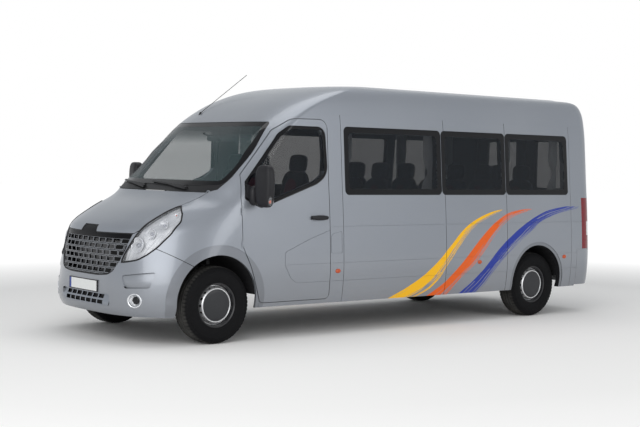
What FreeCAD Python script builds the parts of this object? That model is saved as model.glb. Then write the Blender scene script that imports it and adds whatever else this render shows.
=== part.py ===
"""Long high-roof minibus as an assembly of separate panels, glass, seats, running gear and wheels.

Millimetres. +Z is up, the vehicle faces -Y and its left side, the driver's, is +X.
The origin is on the ground under the middle of the vehicle.
"""
import FreeCAD, Part
import math
import os

V = FreeCAD.Vector
UP, ACROSS, ALONG = V(0, 0, 1), V(1, 0, 0), V(0, 1, 0)

# Driving dimensions.
LENGTH = 6198.0
HALF_LENGTH = LENGTH / 2
HALF_BODY = 1039.0            # half the body's greatest width
WHEELBASE = 4332.0
ROOF_HEIGHT = 2470.0
FRONT_AXLE_Y = -2257.0
REAR_AXLE_Y = FRONT_AXLE_Y + WHEELBASE
TYRE_RADIUS = 356.0
TYRE_WIDTH = 226.0
FRONT_TRACK = 1750.0
REAR_TRACK = 1730.0
SEAM = 6.0                    # shut line between two panels
WALL = 60.0                   # a door or a side with its lining
SKIN = 28.0                   # a bonnet, wing or bumper with its frame
GLASS_IN, GLASS_OUT = 9.0, 3.0   # inner and outer face of a pane, below the body surface
OVERRUN = 20.0                # how far a cutting tool passes the face it cuts

# Body surface: (height, reach) control points, joined by a smooth curve.
HALF_WIDTH = [(262, 985), (350, 1012), (480, 1030), (640, 1039), (900, 1030), (1210, 1010),
              (1500, 984), (1800, 961), (2060, 938), (2240, 906), (2320, 882), (2380, 852),
              (2425, 806), (2450, 720), (2463, 600), (ROOF_HEIGHT, 420)]
NOSE_REACH = [(262, 3050), (300, 3080), (400, 3098), (520, 3099), (680, 3092), (900, 3067),
              (980, 3056), (1050, 3030), (1100, 2970), (1210, 2760), (1330, 2470), (1400, 2378),
              (1500, 2264), (1800, 1928), (2060, 1637), (2240, 1380), (2320, 1220), (2380, 1060),
              (2425, 880), (2450, 720), (2463, 560), (ROOF_HEIGHT, 400)]
SHOULDER_REACH = [(262, 2480), (480, 2430), (680, 2340), (900, 2180), (1050, 2080), (1330, 1930),
                  (1500, 1820), (1800, 1590), (2060, 1350), (2240, 1060), (2380, 700),
                  (2450, 400), (ROOF_HEIGHT, 150)]
PLAN_POWER = [(262, 3.0), (580, 3.0), (980, 2.65), (1150, 2.55), (1330, 3.0), (1500, 3.6),
              (2060, 3.6), (2240, 3.2), (2380, 3.0), (ROOF_HEIGHT, 3.0)]
TAIL_REACH = [(262, 3040), (2260, 3040), (2320, 3034), (2380, 3020), (2425, 2995), (2450, 2960),
              (2463, 2915), (ROOF_HEIGHT, 2850)]
LEVELS = [262, 310, 400, 520, 660, 800, 900, 980, 1040, 1090, 1150, 1240, 1330, 1400, 1500, 1700,
          1900, 2060, 2160, 2250, 2320, 2380, 2425, 2450, 2463, ROOF_HEIGHT]
BODY_FOOT = 262.0
LEVEL_STEP, LEVEL_GAP = 0.5, 4.0          # for a slope between two levels, and their least distance
SHOULDER_LEAST = 60.0                     # least distance from the nose to its shoulder
TAIL_CORNER_X, TAIL_CORNER_Y = 125.0, 170.0
NOSE_POINTS = 9               # points on each half of a level's nose curve
TAIL_POINTS = 6               # points on a rear corner


def smooth(points):
    """A monotone cubic through (height, reach) points: no overshoot between two of them."""
    heights = [float(p[0]) for p in points]
    reaches = [float(p[1]) for p in points]
    last = len(points) - 1
    chords = [(reaches[i + 1] - reaches[i]) / (heights[i + 1] - heights[i]) for i in range(last)]
    slopes = [chords[0]] + [0.0] * (last - 1) + [chords[-1]]
    for i in range(1, last):
        before, after = chords[i - 1], chords[i]
        if before * after > 0:
            slopes[i] = 2 * before * after / (before + after)

    def value(height):
        height = min(max(height, heights[0]), heights[-1])
        i = max(k for k in range(last) if heights[k] <= height)
        span = heights[i + 1] - heights[i]
        t = (height - heights[i]) / span
        return (reaches[i] * (1 + 2 * t) * (1 - t) ** 2 + slopes[i] * span * t * (1 - t) ** 2
                + reaches[i + 1] * t * t * (3 - 2 * t) + slopes[i + 1] * span * t * t * (t - 1))
    return value


half_width = smooth(HALF_WIDTH)
nose_reach = smooth(NOSE_REACH)
shoulder_reach = smooth(SHOULDER_REACH)
plan_power = smooth(PLAN_POWER)
tail_reach = smooth(TAIL_REACH)


def inset(reach, height, depth):
    """The reach at a height of the curve that lies a depth inside the given one."""
    def moved(h):
        slope = (reach(h + LEVEL_STEP) - reach(h - LEVEL_STEP)) / (2 * LEVEL_STEP)
        unit = math.hypot(1, slope)
        return h + depth * slope / unit, reach(h) - depth / unit

    low, high = BODY_FOOT, ROOF_HEIGHT
    for _ in range(40):
        middle = (low + high) / 2
        if moved(middle)[0] < height:
            low = middle
        else:
            high = middle
    return moved((low + high) / 2)[1]


def even(count):
    """Evenly spaced curve parameters from 0 to 1."""
    return [i / (count - 1) for i in range(count)]


def level_outline(height, source, depth):
    """The body's plan outline at one height, a depth inside the outer surface."""
    width = inset(half_width, source, depth)
    nose = inset(nose_reach, source, depth)
    tail = inset(tail_reach, source, depth)
    shoulder = min(shoulder_reach(source), nose - depth / 2 - SHOULDER_LEAST)
    power = 2 / plan_power(source)
    quarter = math.pi / 2
    half = []
    for i in range(NOSE_POINTS):
        turn = quarter * i / (NOSE_POINTS - 1)
        half.append((width * math.sin(turn) ** power if i else 0.0,
                     -shoulder - (nose - shoulder) * math.cos(turn)))
    points = [V(-x, y, height) for x, y in reversed(half)] + [V(x, y, height) for x, y in half[1:]]
    nose_curve = Part.BSplineCurve()
    rise = (nose - shoulder) * math.pi
    nose_curve.interpolate(Points=points, Parameters=even(len(points)), Scale=False,
                           InitialTangent=V(0, -rise, 0), FinalTangent=V(0, rise, 0))
    corner_x, corner_y = TAIL_CORNER_X - depth, TAIL_CORNER_Y - depth
    turns = [quarter * i / (TAIL_POINTS - 1) for i in range(TAIL_POINTS)]
    right = [V(width - corner_x * (1 - math.cos(t)), tail - corner_y * (1 - math.sin(t)), height)
             for t in turns]
    left = [V(-p.x, p.y, height) for p in reversed(right)]
    right_curve, left_curve = Part.BSplineCurve(), Part.BSplineCurve()
    across, back = V(-corner_x * quarter, 0, 0), V(0, corner_y * quarter, 0)
    right_curve.interpolate(Points=right, Parameters=even(TAIL_POINTS), Scale=False,
                            InitialTangent=back, FinalTangent=across)
    left_curve.interpolate(Points=left, Parameters=even(TAIL_POINTS), Scale=False,
                           InitialTangent=across, FinalTangent=back * -1)
    return Part.Wire([nose_curve.toShape(),
                      Part.makeLine(points[-1], right[0]), right_curve.toShape(),
                      Part.makeLine(right[-1], left[0]), left_curve.toShape(),
                      Part.makeLine(left[-1], points[0])])


made_bodies = {}


def loft(depth, overrun):
    """The whole body as one solid, its surface a depth inside the outer one."""
    top = ROOF_HEIGHT - depth
    heights = []
    for level in LEVELS[:-1]:
        slope = (half_width(level + LEVEL_STEP) - half_width(level - LEVEL_STEP)) / (2 * LEVEL_STEP)
        height = level + depth * slope / math.hypot(1, slope)
        if not heights or height > heights[-1] + LEVEL_GAP:
            heights.append(max(height, BODY_FOOT))
    heights = [h for h in heights if h < top - LEVEL_GAP] + [top]
    wires = [level_outline(h, h, depth) for h in heights]
    if heights[0] > BODY_FOOT or overrun:
        wires.insert(0, level_outline(BODY_FOOT - overrun, BODY_FOOT, depth))
    return Part.makeLoft(wires, True, False)


def body(depth):
    """The body at a depth, kept once made, a little longer below where it serves as a tool."""
    if depth not in made_bodies:
        made_bodies[depth] = loft(depth, OVERRUN if depth else 0.0)
    return made_bodies[depth]


def foot_face(shape):
    return min(shape.Faces, key=lambda face: face.CenterOfMass.z)


made_skins = {}


def skin(outer_depth, inner_depth):
    """The body wall between two depths, open at the foot, sewn from the two surfaces."""
    outer, inner = loft(outer_depth, 0.0), loft(inner_depth, 0.0)
    outer_foot, inner_foot = foot_face(outer), foot_face(inner)
    rim = Part.Face([outer_foot.OuterWire, inner_foot.OuterWire], "Part::FaceMakerBullseye")
    faces = [face for face in outer.Faces if not face.isSame(outer_foot)]
    faces += [face.reversed() for face in inner.Faces if not face.isSame(inner_foot)]
    return Part.Solid(Part.Shell(faces + [rim.reversed()]))


def layer(outer_depth, inner_depth, *masks):
    """The part of the body wall between two depths that lies inside every mask."""
    depths = (outer_depth, inner_depth)
    if depths not in made_skins:
        made_skins[depths] = skin(*depths)
    piece = made_skins[depths]
    for mask in masks:
        piece = piece.common(mask)
    return piece


# Outlines and the prisms made from them. A prism reaches past whatever it cuts.
TINY = 0.01
SIDE_FAR, ARCH_IN, WING_IN, ARCH_FOOT = 1300.0, 500.0, 400.0, 100.0
FRONT_SPAN = (-3300.0, -1300.0)
REAR_SPAN = (2800.0, 3200.0)
ROOF_FAR, GRILLE_REAR = 2600.0, -2700.0


def outline(points, place):
    """A closed wire of (u, v) or (u, v, corner radius) points, put in space by place(u, v)."""
    flat = [V(p[0], p[1], 0) for p in points]
    count = len(points)
    starts, ends, middles = [], [], []
    for i, corner in enumerate(flat):
        radius = points[i][2] if len(points[i]) > 2 else 0.0
        before, after = flat[i - 1] - corner, flat[(i + 1) % count] - corner
        half_turn = before.getAngle(after) / 2
        reach = radius / math.tan(half_turn) if radius else 0.0
        starts.append(corner + before.normalize() * reach)
        ends.append(corner + after.normalize() * reach)
        bisector = before + after
        middles.append(corner + bisector.normalize() * (radius / math.sin(half_turn) - radius)
                       if radius else None)
    edges = []
    for i in range(count):
        if middles[i] is not None:
            edges.append(Part.Arc(*[place(p.x, p.y) for p in (starts[i], middles[i], ends[i])])
                         .toShape())
        here, there = place(ends[i].x, ends[i].y), place(starts[(i + 1) % count].x,
                                                         starts[(i + 1) % count].y)
        if here.distanceToPoint(there) > TINY:
            edges.append(Part.makeLine(here, there))
    return Part.Wire(edges)


def prism(points, place, along, start, end, grow):
    wire = outline(points, place)
    if grow:
        wire = wire.makeOffset2D(grow)
    face = Part.Face(wire)
    face.translate(along * start)
    return face.extrude(along * (end - start))


def side_prism(points, grow=0.0, start=0.0, end=SIDE_FAR):
    """An outline of (y, z) points, as seen from the side, swept across the vehicle."""
    return prism(points, lambda u, v: V(0, u, v), ACROSS, start, end, grow)


def front_prism(points, grow=0.0, start=FRONT_SPAN[0], end=FRONT_SPAN[1]):
    """An outline of (x, z) points, as seen from the front, swept along the vehicle."""
    return prism(points, lambda u, v: V(u, 0, v), ALONG, start, end, grow)


def both_sides(half):
    """A left half outline of (x, z) points and its mirror image, as one closed outline."""
    return half + [(-p[0],) + tuple(p[1:]) for p in reversed(half)]


def block(low, high):
    return Part.makeBox(high[0] - low[0], high[1] - low[1], high[2] - low[2], V(*low))


def mirrored(shape):
    return shape.mirror(V(0, 0, 0), ACROSS)


def rod(start, end, radius):
    start, end = V(*start), V(*end)
    return Part.makeCylinder(radius, (end - start).Length, start, end - start)


def turned(profile, centre):
    """A closed (across, radius) profile turned about the wheel axis through centre."""
    wire = Part.makePolygon([V(a, 0, r) for a, r in profile + profile[:1]])
    solid = Part.Face(wire).revolve(V(0, 0, 0), ACROSS, 360)
    solid.translate(V(*centre))
    return solid


parts = {}


def add(name, *shapes):
    """Keep one node: its solids do not touch each other."""
    solids = [solid for shape in shapes for solid in shape.Solids if solid.Volume > 1]
    parts[name] = solids[0] if len(solids) == 1 else Part.makeCompound(solids)


def from_side(shares):
    """(y, z, corner radius) points from shares of half the length, the height and the height."""
    return [(u * HALF_LENGTH, v * ROOF_HEIGHT) + tuple(r * ROOF_HEIGHT for r in rest)
            for u, v, *rest in shares]


def from_front(shares):
    """(x, z, corner radius) points from shares of half the width, the height and the height."""
    return [(u * HALF_BODY, v * ROOF_HEIGHT) + tuple(r * ROOF_HEIGHT for r in rest)
            for u, v, *rest in shares]


# Outlines seen from the side: (y, z, corner radius).
CAB_DOOR_SHARES = [(-0.3146, 0.1457, 0.0182), (-0.3146, 0.8494, 0.0364), (-0.4501, 0.847, 0.0648),
    (-0.5131, 0.8016, 0.0648), (-0.6402, 0.6283, 0.0081), (-0.6518, 0.5425, 0.081),
    (-0.6512, 0.3644, 0.0486), (-0.6202, 0.2834, 0.081), (-0.5818, 0.1457, 0.0182)]
CAB_DOOR = from_side(CAB_DOOR_SHARES)
CAB_PANE_SHARES = [(-0.3243, 0.8211, 0.0364), (-0.3178, 0.6316, 0.0607), (-0.3614, 0.5972, 0.0324),
    (-0.5808, 0.5045, 0.0081), (-0.6402, 0.5385, 0.0061), (-0.6338, 0.6032, 0.0061),
    (-0.5034, 0.7895, 0.0486), (-0.4647, 0.8211, 0.0324)]
CAB_PANE = from_side(CAB_PANE_SHARES)
SLIDING_DOOR_SHARES = [(-0.2565, 0.1397, 0.0121), (-0.2565, 0.8551, 0.0243),
    (0.1936, 0.8551, 0.0243), (0.1936, 0.1397, 0.0121)]
SLIDING_DOOR = from_side(SLIDING_DOOR_SHARES)
PANE_SPLITS = [-765.0, 576.0, 1566.0, 2615.0]
PANE_LOW, PANE_HIGH, PANE_CORNER = 1368.0, 2040.0, 50.0
SIDE_FOOT = 315.0
BUMPER_CORNER_SHARES = [(0.8867, 0.081), (0.8867, 0.2996), (1.0326, 0.2996), (1.0326, 0.081)]
BUMPER_CORNER = from_side(BUMPER_CORNER_SHARES)
ROOF_JOINT = 2150.0
FRONT_ARCH_Y, FRONT_ARCH_Z, FRONT_ARCH_R = -2272.0, 400.0, 420.0
REAR_ARCH_Z, REAR_ARCH_R = 405.0, 398.0
BUMPER_SIDE_SHARES = [(-1.0326, 0.081), (-1.0326, 0.4089), (-0.9058, 0.3534), (-0.8187, 0.2927),
    (-0.768, 0.2591), (-0.768, 0.081)]
BUMPER_SIDE = from_side(BUMPER_SIDE_SHARES)
WING_SHARES = [(-1.0326, 0.63), (-1.0326, 0.1275), (-0.584, 0.1275), (-0.584, 0.1619),
               (-0.597, 0.2429), (-0.5486, 0.2834), (-0.5486, 0.63)]
WING_SIDE = from_side(WING_SHARES)

# Outlines seen from the front: (x, z, corner radius), left half.
SCREEN_SHARES = [(0.7575, 0.8348, 0.0182), (0.8142, 0.753), (0.8393, 0.6923), (0.8431, 0.6316),
    (0.8277, 0.5854, 0.0182)]
SCREEN = both_sides(from_front(SCREEN_SHARES))
SCUTTLE_SHARES = [(0.8354, 0.5992), (0.8162, 0.5717), (0.7642, 0.5623)]
SCUTTLE = both_sides(from_front(SCUTTLE_SHARES))
BONNET_SHARES = [(0.7565, 0.5599), (0.6728, 0.5126), (0.641, 0.4887), (0.6237, 0.4551),
    (0.6083, 0.4194), (0.5775, 0.4089), (0.1367, 0.4073), (0.1136, 0.4324)]
BONNET = both_sides(from_front(BONNET_SHARES))
GRILLE_SHARES = [(0.1078, 0.43), (0.1309, 0.4049), (0.5717, 0.4065), (0.5082, 0.3045),
    (0.4466, 0.2672), (0.3802, 0.2551), (0.231, 0.2498)]
GRILLE = both_sides(from_front(GRILLE_SHARES))
HEADLAMP_SHARES = [(0.5226, 0.3004), (0.5399, 0.3287), (0.5833, 0.3814), (0.6169, 0.4186),
    (0.6304, 0.4551), (0.6477, 0.4887), (0.6795, 0.5126, 0.0061), (0.7738, 0.4818, 0.0101),
    (0.82, 0.4526, 0.0121), (0.821, 0.4097), (0.7757, 0.3603), (0.7286, 0.3328), (0.6679, 0.313)]
HEADLAMP = from_front(HEADLAMP_SHARES)
BUMPER_TOP_SHARES = [(1.155, 0.3575), (0.7815, 0.3575), (0.7324, 0.3312), (0.6679, 0.3113),
                     (0.5226, 0.2988), (0.5101, 0.3028), (0.4504, 0.2656), (0.3821, 0.2534),
                     (0.231, 0.2482)]
BUMPER_FOOT_SHARES = [(-1.155, 0.081), (1.155, 0.081)]
BUMPER_FRONT = from_front(BUMPER_FOOT_SHARES) + both_sides(from_front(BUMPER_TOP_SHARES))
LOWER_GRILLE_SHARES = [(-0.4235, 0.183, 0.0121), (0.4235, 0.183, 0.0121), (0.409, 0.1377, 0.0121),
    (-0.409, 0.1377, 0.0121)]
LOWER_GRILLE = from_front(LOWER_GRILLE_SHARES)
FOG_X, FOG_Z, FOG_R = 708.0, 410.0, 48.0
REAR_DOOR_X = 812.0
REAR_DOOR = [(5, 520), (5, 2252), (772, 2252, 60), (REAR_DOOR_X, 1700), (REAR_DOOR_X, 520, 20)]
REAR_DOORWAY = both_sides([(772, 2252, 60), (REAR_DOOR_X, 1700), (REAR_DOOR_X, 520, 20)])
REAR_PANE_SHARES = [(0.0914, 0.5555, 0.0202), (0.0914, 0.8279, 0.0202), (0.6737, 0.8279, 0.0283),
    (0.6949, 0.5555, 0.0202)]
REAR_PANE = from_front(REAR_PANE_SHARES)
TAIL_LAMP_LOW, TAIL_LAMP_HIGH, TAIL_LAMP_FRONT = 747.0, 1333.0, 2838.0
ROOF_FRONT = [(1200, ROOF_JOINT), (765, ROOF_JOINT), (700, 1990), (-700, 1990),
              (-765, ROOF_JOINT), (-1200, ROOF_JOINT), (-1200, 2600), (1200, 2600)]

BAND = 60.0                   # how far a pane overlaps its frame
GROOVE_DEPTH, GROOVE = 5.0, 3.0   # visible line where two fixed panels meet
PANE_CLEAR, PANE_GAP = 1.0, 3.0   # room round a pane, and half the gap between two panes
CLEAR = 0.3                       # between two curved pieces that rest on each other
TAIL_LAMP_GAP, TAIL_LAMP_THICK = 18.0, 45.0
SIDE_ZONE_SHARES = [(-0.7519, 0.63), (-0.484, 0.63), (-0.484, 0.1619), (-0.584, 0.1619), (-0.584, 0.1275),
                    (1.0003, 0.1275), (1.0003, 0.8704), (-0.7519, 0.8704)]
HINGE_PILLAR_SHARES = [(-0.6809, 0.63), (-0.6809, 0.3441), (-0.6389, 0.3441), (-0.6389, 0.63)]


def arch(centre_y, centre_z, radius):
    """The round opening over a wheel, seen from the side, open downwards."""
    disc = Part.makeCylinder(radius, SIDE_FAR - ARCH_IN, V(ARCH_IN, centre_y, centre_z), ACROSS)
    return disc.fuse(block((ARCH_IN, centre_y - radius, ARCH_FOOT), (SIDE_FAR, centre_y + radius, centre_z)))


def glazed(panel, pane_outline, cutter, band=BAND, **span):
    """A panel with a seat and a hole for a flush pane, and the pane itself."""
    seat = cutter(pane_outline, grow=PANE_CLEAR, **span).cut(body(GLASS_IN))
    hole = cutter(pane_outline, grow=-band, **span)
    pane = layer(GLASS_OUT, GLASS_IN, cutter(pane_outline, **span))
    return panel.cut(seat).cut(hole), pane


def beside(panel, cutter, shape, **span):
    """A panel cut to touch a fixed neighbour, with a shallow line along the joint."""
    groove = cutter(shape, grow=GROOVE, **span).cut(body(GROOVE_DEPTH))
    return panel.cut(cutter(shape, **span)).cut(groove)


def biggest(shape):
    return max(shape.Solids, key=lambda solid: solid.Volume)


# Lines and shallow recesses pressed into the outer panels.
LINE_DEPTH, LINE_HALF, FLAP_LINE = 4.0, 2.5, 1.5
WAIST_Z, BELT_TOP, BELT_LOW = 1060.0, 706.0, 530.0
PANEL_JOINTS = [-800.0, 620.0, 1566.0, 2650.0]   # where two lengths of body side meet
LINES_FRONT = -960.0
ARCH_BAND, REAR_BAND, BAND_DEPTH = 92.0, 36.0, 4.0
DOOR_PRESSING_SHARES = [(-0.2904, 0.4211), (-0.3243, 0.4117), (-0.3988, 0.3814, 0.1215),
    (-0.4934, 0.3344, 0.0162), (-0.4937, 0.2846, 0.0081), (-0.4714, 0.234, 0.0243),
    (-0.4485, 0.2146, 0.0162), (-0.2904, 0.2146)]
DOOR_PRESSING = from_side(DOOR_PRESSING_SHARES)
FLAP_SHARES = [(-0.3091, 0.3239, 0.0049), (-0.3091, 0.3988, 0.0162), (-0.2652, 0.4097, 0.0049),
    (-0.2652, 0.3239, 0.0049)]
FLAP = from_side(FLAP_SHARES)
RAIL_SLOT_SHARES = [(0.2065, 0.4656), (0.2065, 0.4753), (0.6131, 0.4753), (0.6131, 0.4656)]
RAIL_SLOT = from_side(RAIL_SLOT_SHARES)
RAIL_SLOT_DEPTH = 14.0
BUMPER_SCOOP_SHARES = [(0.5505, 0.2551, 0.0081), (0.82, 0.2721, 0.0057), (0.7969, 0.2138, 0.0081),
    (0.5871, 0.2081, 0.0121)]
BUMPER_SCOOP = from_front(BUMPER_SCOOP_SHARES)
SCOOP_DEPTH = 18.0
HANDLE_SHARES = [(0, 0, 0.2), (0, 1, 0.4), (1, 1, 0.4), (1, 0, 0.2)]
HANDLE_HEIGHT, HANDLE_PROUD, HANDLE_ROOT = 36.0, 22.0, 10.0


def pressed(panel, depth, *tools):
    """A panel with every tool cut into its outer face, to one depth."""
    tool = tools[0].fuse(list(tools[1:])) if len(tools) > 1 else tools[0]
    return panel.cut(tool.cut(body(depth)))


def ring_line(cutter, points, half_line):
    """A thin line along an outline, as a tool for pressed()."""
    return cutter(points, grow=half_line).cut(cutter(points, grow=-half_line))


def side_line(low, high):
    """A straight pressed line between two (y, z) corners of the side view."""
    return block((ARCH_IN,) + low, (SIDE_FAR,) + high)


def handle(cutter, start, length, foot, *span):
    """A pull handle that stands proud of a door, as long as given along the door."""
    points = [(start + u * length, foot + v * HANDLE_HEIGHT, r * HANDLE_HEIGHT)
              for u, v, r in HANDLE_SHARES]
    return layer(-HANDLE_PROUD, HANDLE_ROOT, cutter(points, 0.0, *span))


# Hinges: a barrel on each piece and a pin between them.
BARREL_R, PIN_R, RUNNING = 6.0, 3.0, 0.4
BARREL_LENGTH, LUG, LUG_R, BARREL_ROOM = 34.0, 22.0, 4.2, 2.5


def hinge_barrels(foot, axis, lug_moving, lug_fixed, length=BARREL_LENGTH, reach=LUG):
    """Moving barrel, fixed barrel with its pin, and the room that each needs in the other piece.

    A lug is the direction from the axis into the piece that carries the barrel.
    """
    foot, axis = V(*foot), V(*axis).normalize()
    middle = foot + axis * length
    pin = Part.makeCylinder(PIN_R, 2 * length - RUNNING, foot, axis)
    bore = Part.makeCylinder(PIN_R + RUNNING, length, middle, axis)
    made = []
    for start, toward in ((middle + axis * RUNNING, lug_moving), (foot, lug_fixed)):
        barrel = Part.makeCylinder(BARREL_R, length - RUNNING, start, axis)
        lug = Part.makeCylinder(LUG_R, reach, start + axis * (length / 2), V(*toward))
        made.append(barrel.fuse(lug))
    moving = made[0].cut(bore)
    fixed = made[1].cut(Part.makeCylinder(PIN_R, length, foot, axis)).fuse(pin)
    room_r, room_length = BARREL_R + BARREL_ROOM, length + BARREL_ROOM
    room_moving = Part.makeCylinder(room_r, room_length, middle, axis)
    room_fixed = Part.makeCylinder(room_r, room_length, foot - axis * BARREL_ROOM, axis)
    return moving, fixed, room_moving, room_fixed


# Roof, body sides and sliding door.
front_arch = arch(FRONT_ARCH_Y, FRONT_ARCH_Z, FRONT_ARCH_R)
rear_arch = arch(REAR_AXLE_Y, REAR_ARCH_Z, REAR_ARCH_R)
LINER_STEP = 4.0              # how far an arch lining stands behind its arch's edge
FRONT_WELL_X, REAR_WELL_X, WELL_LENGTH = 548.0, 695.0, 700.0
front_well = Part.makeCylinder(FRONT_ARCH_R + LINER_STEP, WELL_LENGTH,
                               V(FRONT_WELL_X, FRONT_ARCH_Y, FRONT_ARCH_Z), ACROSS)
rear_well = Part.makeCylinder(REAR_ARCH_R + LINER_STEP, WELL_LENGTH,
                              V(REAR_WELL_X, REAR_AXLE_Y, REAR_ARCH_Z), ACROSS)

SCREEN_BAND, CAB_BAND = 34.0, 28.0
roof_zone = front_prism(ROOF_FRONT).fuse(
    block((-SIDE_FAR, FRONT_SPAN[1], ROOF_JOINT), (SIDE_FAR, REAR_SPAN[1], ROOF_FAR)))
roof = layer(0.0, WALL, roof_zone)
roof, windscreen = glazed(roof, SCREEN, front_prism, band=SCREEN_BAND)
roof = roof.cut(front_prism(REAR_DOORWAY, SEAM, *REAR_SPAN))
ANTENNA_X, ANTENNA_Y, ANTENNA_LENGTH, ANTENNA_RAKE = -500.0, -1490.0, 730.0, V(0, 0.81, 0.59)
MAST_R, MAST_RISE, BASE_LOW_R, BASE_TOP_R, BASE_HEIGHT, BASE_SINK = 3.0, 8.0, 20.0, 8.0, 46.0, 22.0
plumb = Part.makeLine(V(ANTENNA_X, ANTENNA_Y, ROOF_JOINT / 2), V(ANTENNA_X, ANTENNA_Y, ROOF_FAR))
antenna_z = max(vertex.Z for vertex in plumb.common(body(0.0)).Vertexes)
antenna_foot = V(ANTENNA_X, ANTENNA_Y, antenna_z)
mast = Part.makeCylinder(MAST_R, ANTENNA_LENGTH, antenna_foot + UP * MAST_RISE, ANTENNA_RAKE)
mast = mast.fuse(Part.makeCone(BASE_LOW_R, BASE_TOP_R, BASE_HEIGHT, antenna_foot - UP * BASE_SINK,
                               V(0, 0.2, 1)))
add("roof", roof)
add("antenna", mast.cut(body(0.0)))
add("windscreen", windscreen)

side_zone = side_prism(from_side(SIDE_ZONE_SHARES), start=ARCH_IN)
hinge_pillar = layer(SKIN, WALL, side_prism(from_side(HINGE_PILLAR_SHARES), start=ARCH_IN))
side = layer(0.0, WALL, side_zone).fuse(hinge_pillar)
side = side.cut(side_prism(CAB_DOOR, SEAM)).cut(rear_arch)
side = side.cut(front_prism(SCREEN, grow=PANE_CLEAR).cut(body(GLASS_IN)))
side = side.cut(front_prism(SCREEN, grow=-SCREEN_BAND)).cut(front_prism(SCUTTLE))
side = side.cut(front_prism(ROOF_FRONT))
side = side.cut(front_prism(REAR_DOORWAY, SEAM, *REAR_SPAN))
side = beside(side, side_prism, BUMPER_CORNER)
tail_zone = block((ARCH_IN, TAIL_LAMP_FRONT, TAIL_LAMP_LOW), (SIDE_FAR, REAR_SPAN[1], TAIL_LAMP_HIGH))
tail_zone = tail_zone.cut(block((ARCH_IN, REAR_SPAN[0], TAIL_LAMP_LOW - OVERRUN),
                                (REAR_DOOR_X + TAIL_LAMP_GAP, REAR_SPAN[1], TAIL_LAMP_HIGH + OVERRUN)))
side = side.cut(tail_zone)
panes = []
for start, end in zip(PANE_SPLITS, PANE_SPLITS[1:]):
    front, back, corner = start + PANE_GAP, end - PANE_GAP, PANE_CORNER
    pane_shape = [(front, PANE_LOW, corner), (front, PANE_HIGH, corner), (back, PANE_HIGH, corner),
                  (back, PANE_LOW, corner)]
    side, pane = glazed(side, pane_shape, side_prism)
    panes.append(pane)
lines = [side_line((y - LINE_HALF, SIDE_FOOT), (y + LINE_HALF, ROOF_JOINT)) for y in PANEL_JOINTS]
lines += [side_line((LINES_FRONT, z - LINE_HALF), (TAIL_LAMP_FRONT, z + LINE_HALF))
          for z in (WAIST_Z, BELT_TOP, BELT_LOW)]
side = pressed(side, LINE_DEPTH, *lines)
side = pressed(side, BAND_DEPTH, arch(REAR_AXLE_Y, REAR_ARCH_Z, REAR_ARCH_R + REAR_BAND))
side = biggest(side)
side_right = pressed(mirrored(side), RAIL_SLOT_DEPTH,
                     side_prism(RAIL_SLOT, start=-SIDE_FAR, end=-ARCH_IN))
side = pressed(side, LINE_DEPTH, ring_line(side_prism, FLAP, FLAP_LINE))
sliding_door = side_right.common(mirrored(side_prism(SLIDING_DOOR)))
side_right = side_right.cut(mirrored(side_prism(SLIDING_DOOR)))
side_right = side_right.cut(mirrored(side_prism(SLIDING_DOOR, GROOVE).cut(body(GROOVE_DEPTH))))
SLIDE_HANDLE_Y, SLIDE_HANDLE_LENGTH, SLIDE_HANDLE_Z = -745.0, 185.0, 1120.0
sliding_door = sliding_door.fuse(mirrored(handle(side_prism, SLIDE_HANDLE_Y, SLIDE_HANDLE_LENGTH,
                                                 SLIDE_HANDLE_Z)))
tail_lamp = layer(0.0, TAIL_LAMP_THICK, tail_zone)
add("saloon_windows", *panes, *[mirrored(pane) for pane in panes])

# Front end: each grille row is a line of slots, every second row set over by half a slot.
GRILLE_SKIN, GRILLE_BACK = 6.0, 20.0
SLOT_W, SLOT_H, SLOT_STEP_X, SLOT_STEP_Z = 82.0, 38.0, 98.0, 54.0
SLOT_ROWS, SLOT_COLUMNS, FIRST_ROW_Z, FIRST_ROW_HALF, ROW_SPREAD = 6, 7, 664.0, 395.0, 26.0
LOW_ROWS_Z, LOW_SLOT_W, LOW_SLOT_H, LOW_COLUMNS = (370.0, 422.0), 82.0, 36.0, 4


def slot(x, z, width, height):
    return block((x - width / 2, FRONT_SPAN[0], z - height / 2),
                 (x + width / 2, GRILLE_REAR, z + height / 2))


slots = []
for row in range(SLOT_ROWS):
    reach = FIRST_ROW_HALF + ROW_SPREAD * row
    for column in range(-SLOT_COLUMNS, SLOT_COLUMNS + 1):
        x = (column + (row % 2) / 2) * SLOT_STEP_X
        if abs(x) + SLOT_W / 2 < reach:
            slots.append(slot(x, FIRST_ROW_Z + row * SLOT_STEP_Z, SLOT_W, SLOT_H))
grille = layer(GRILLE_SKIN, GRILLE_BACK, front_prism(GRILLE)).cut(Part.makeCompound(slots))
low_slots = [slot(column * SLOT_STEP_X, z, LOW_SLOT_W, LOW_SLOT_H)
             for z in LOW_ROWS_Z for column in range(-LOW_COLUMNS + 1, LOW_COLUMNS)]
lower = layer(GRILLE_SKIN, GRILLE_BACK, front_prism(LOWER_GRILLE)).cut(Part.makeCompound(low_slots))
add("grille", grille, lower)
FOG_SINK = 4.0
fog_hole = Part.makeCylinder(FOG_R, FRONT_SPAN[1] - FRONT_SPAN[0], V(FOG_X, FRONT_SPAN[0], FOG_Z), ALONG)
lamp = layer(0.0, SKIN, front_prism(HEADLAMP))
fog = biggest(layer(FOG_SINK, SKIN, fog_hole))
add("front_lamps", lamp, mirrored(lamp), fog, mirrored(fog))

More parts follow.
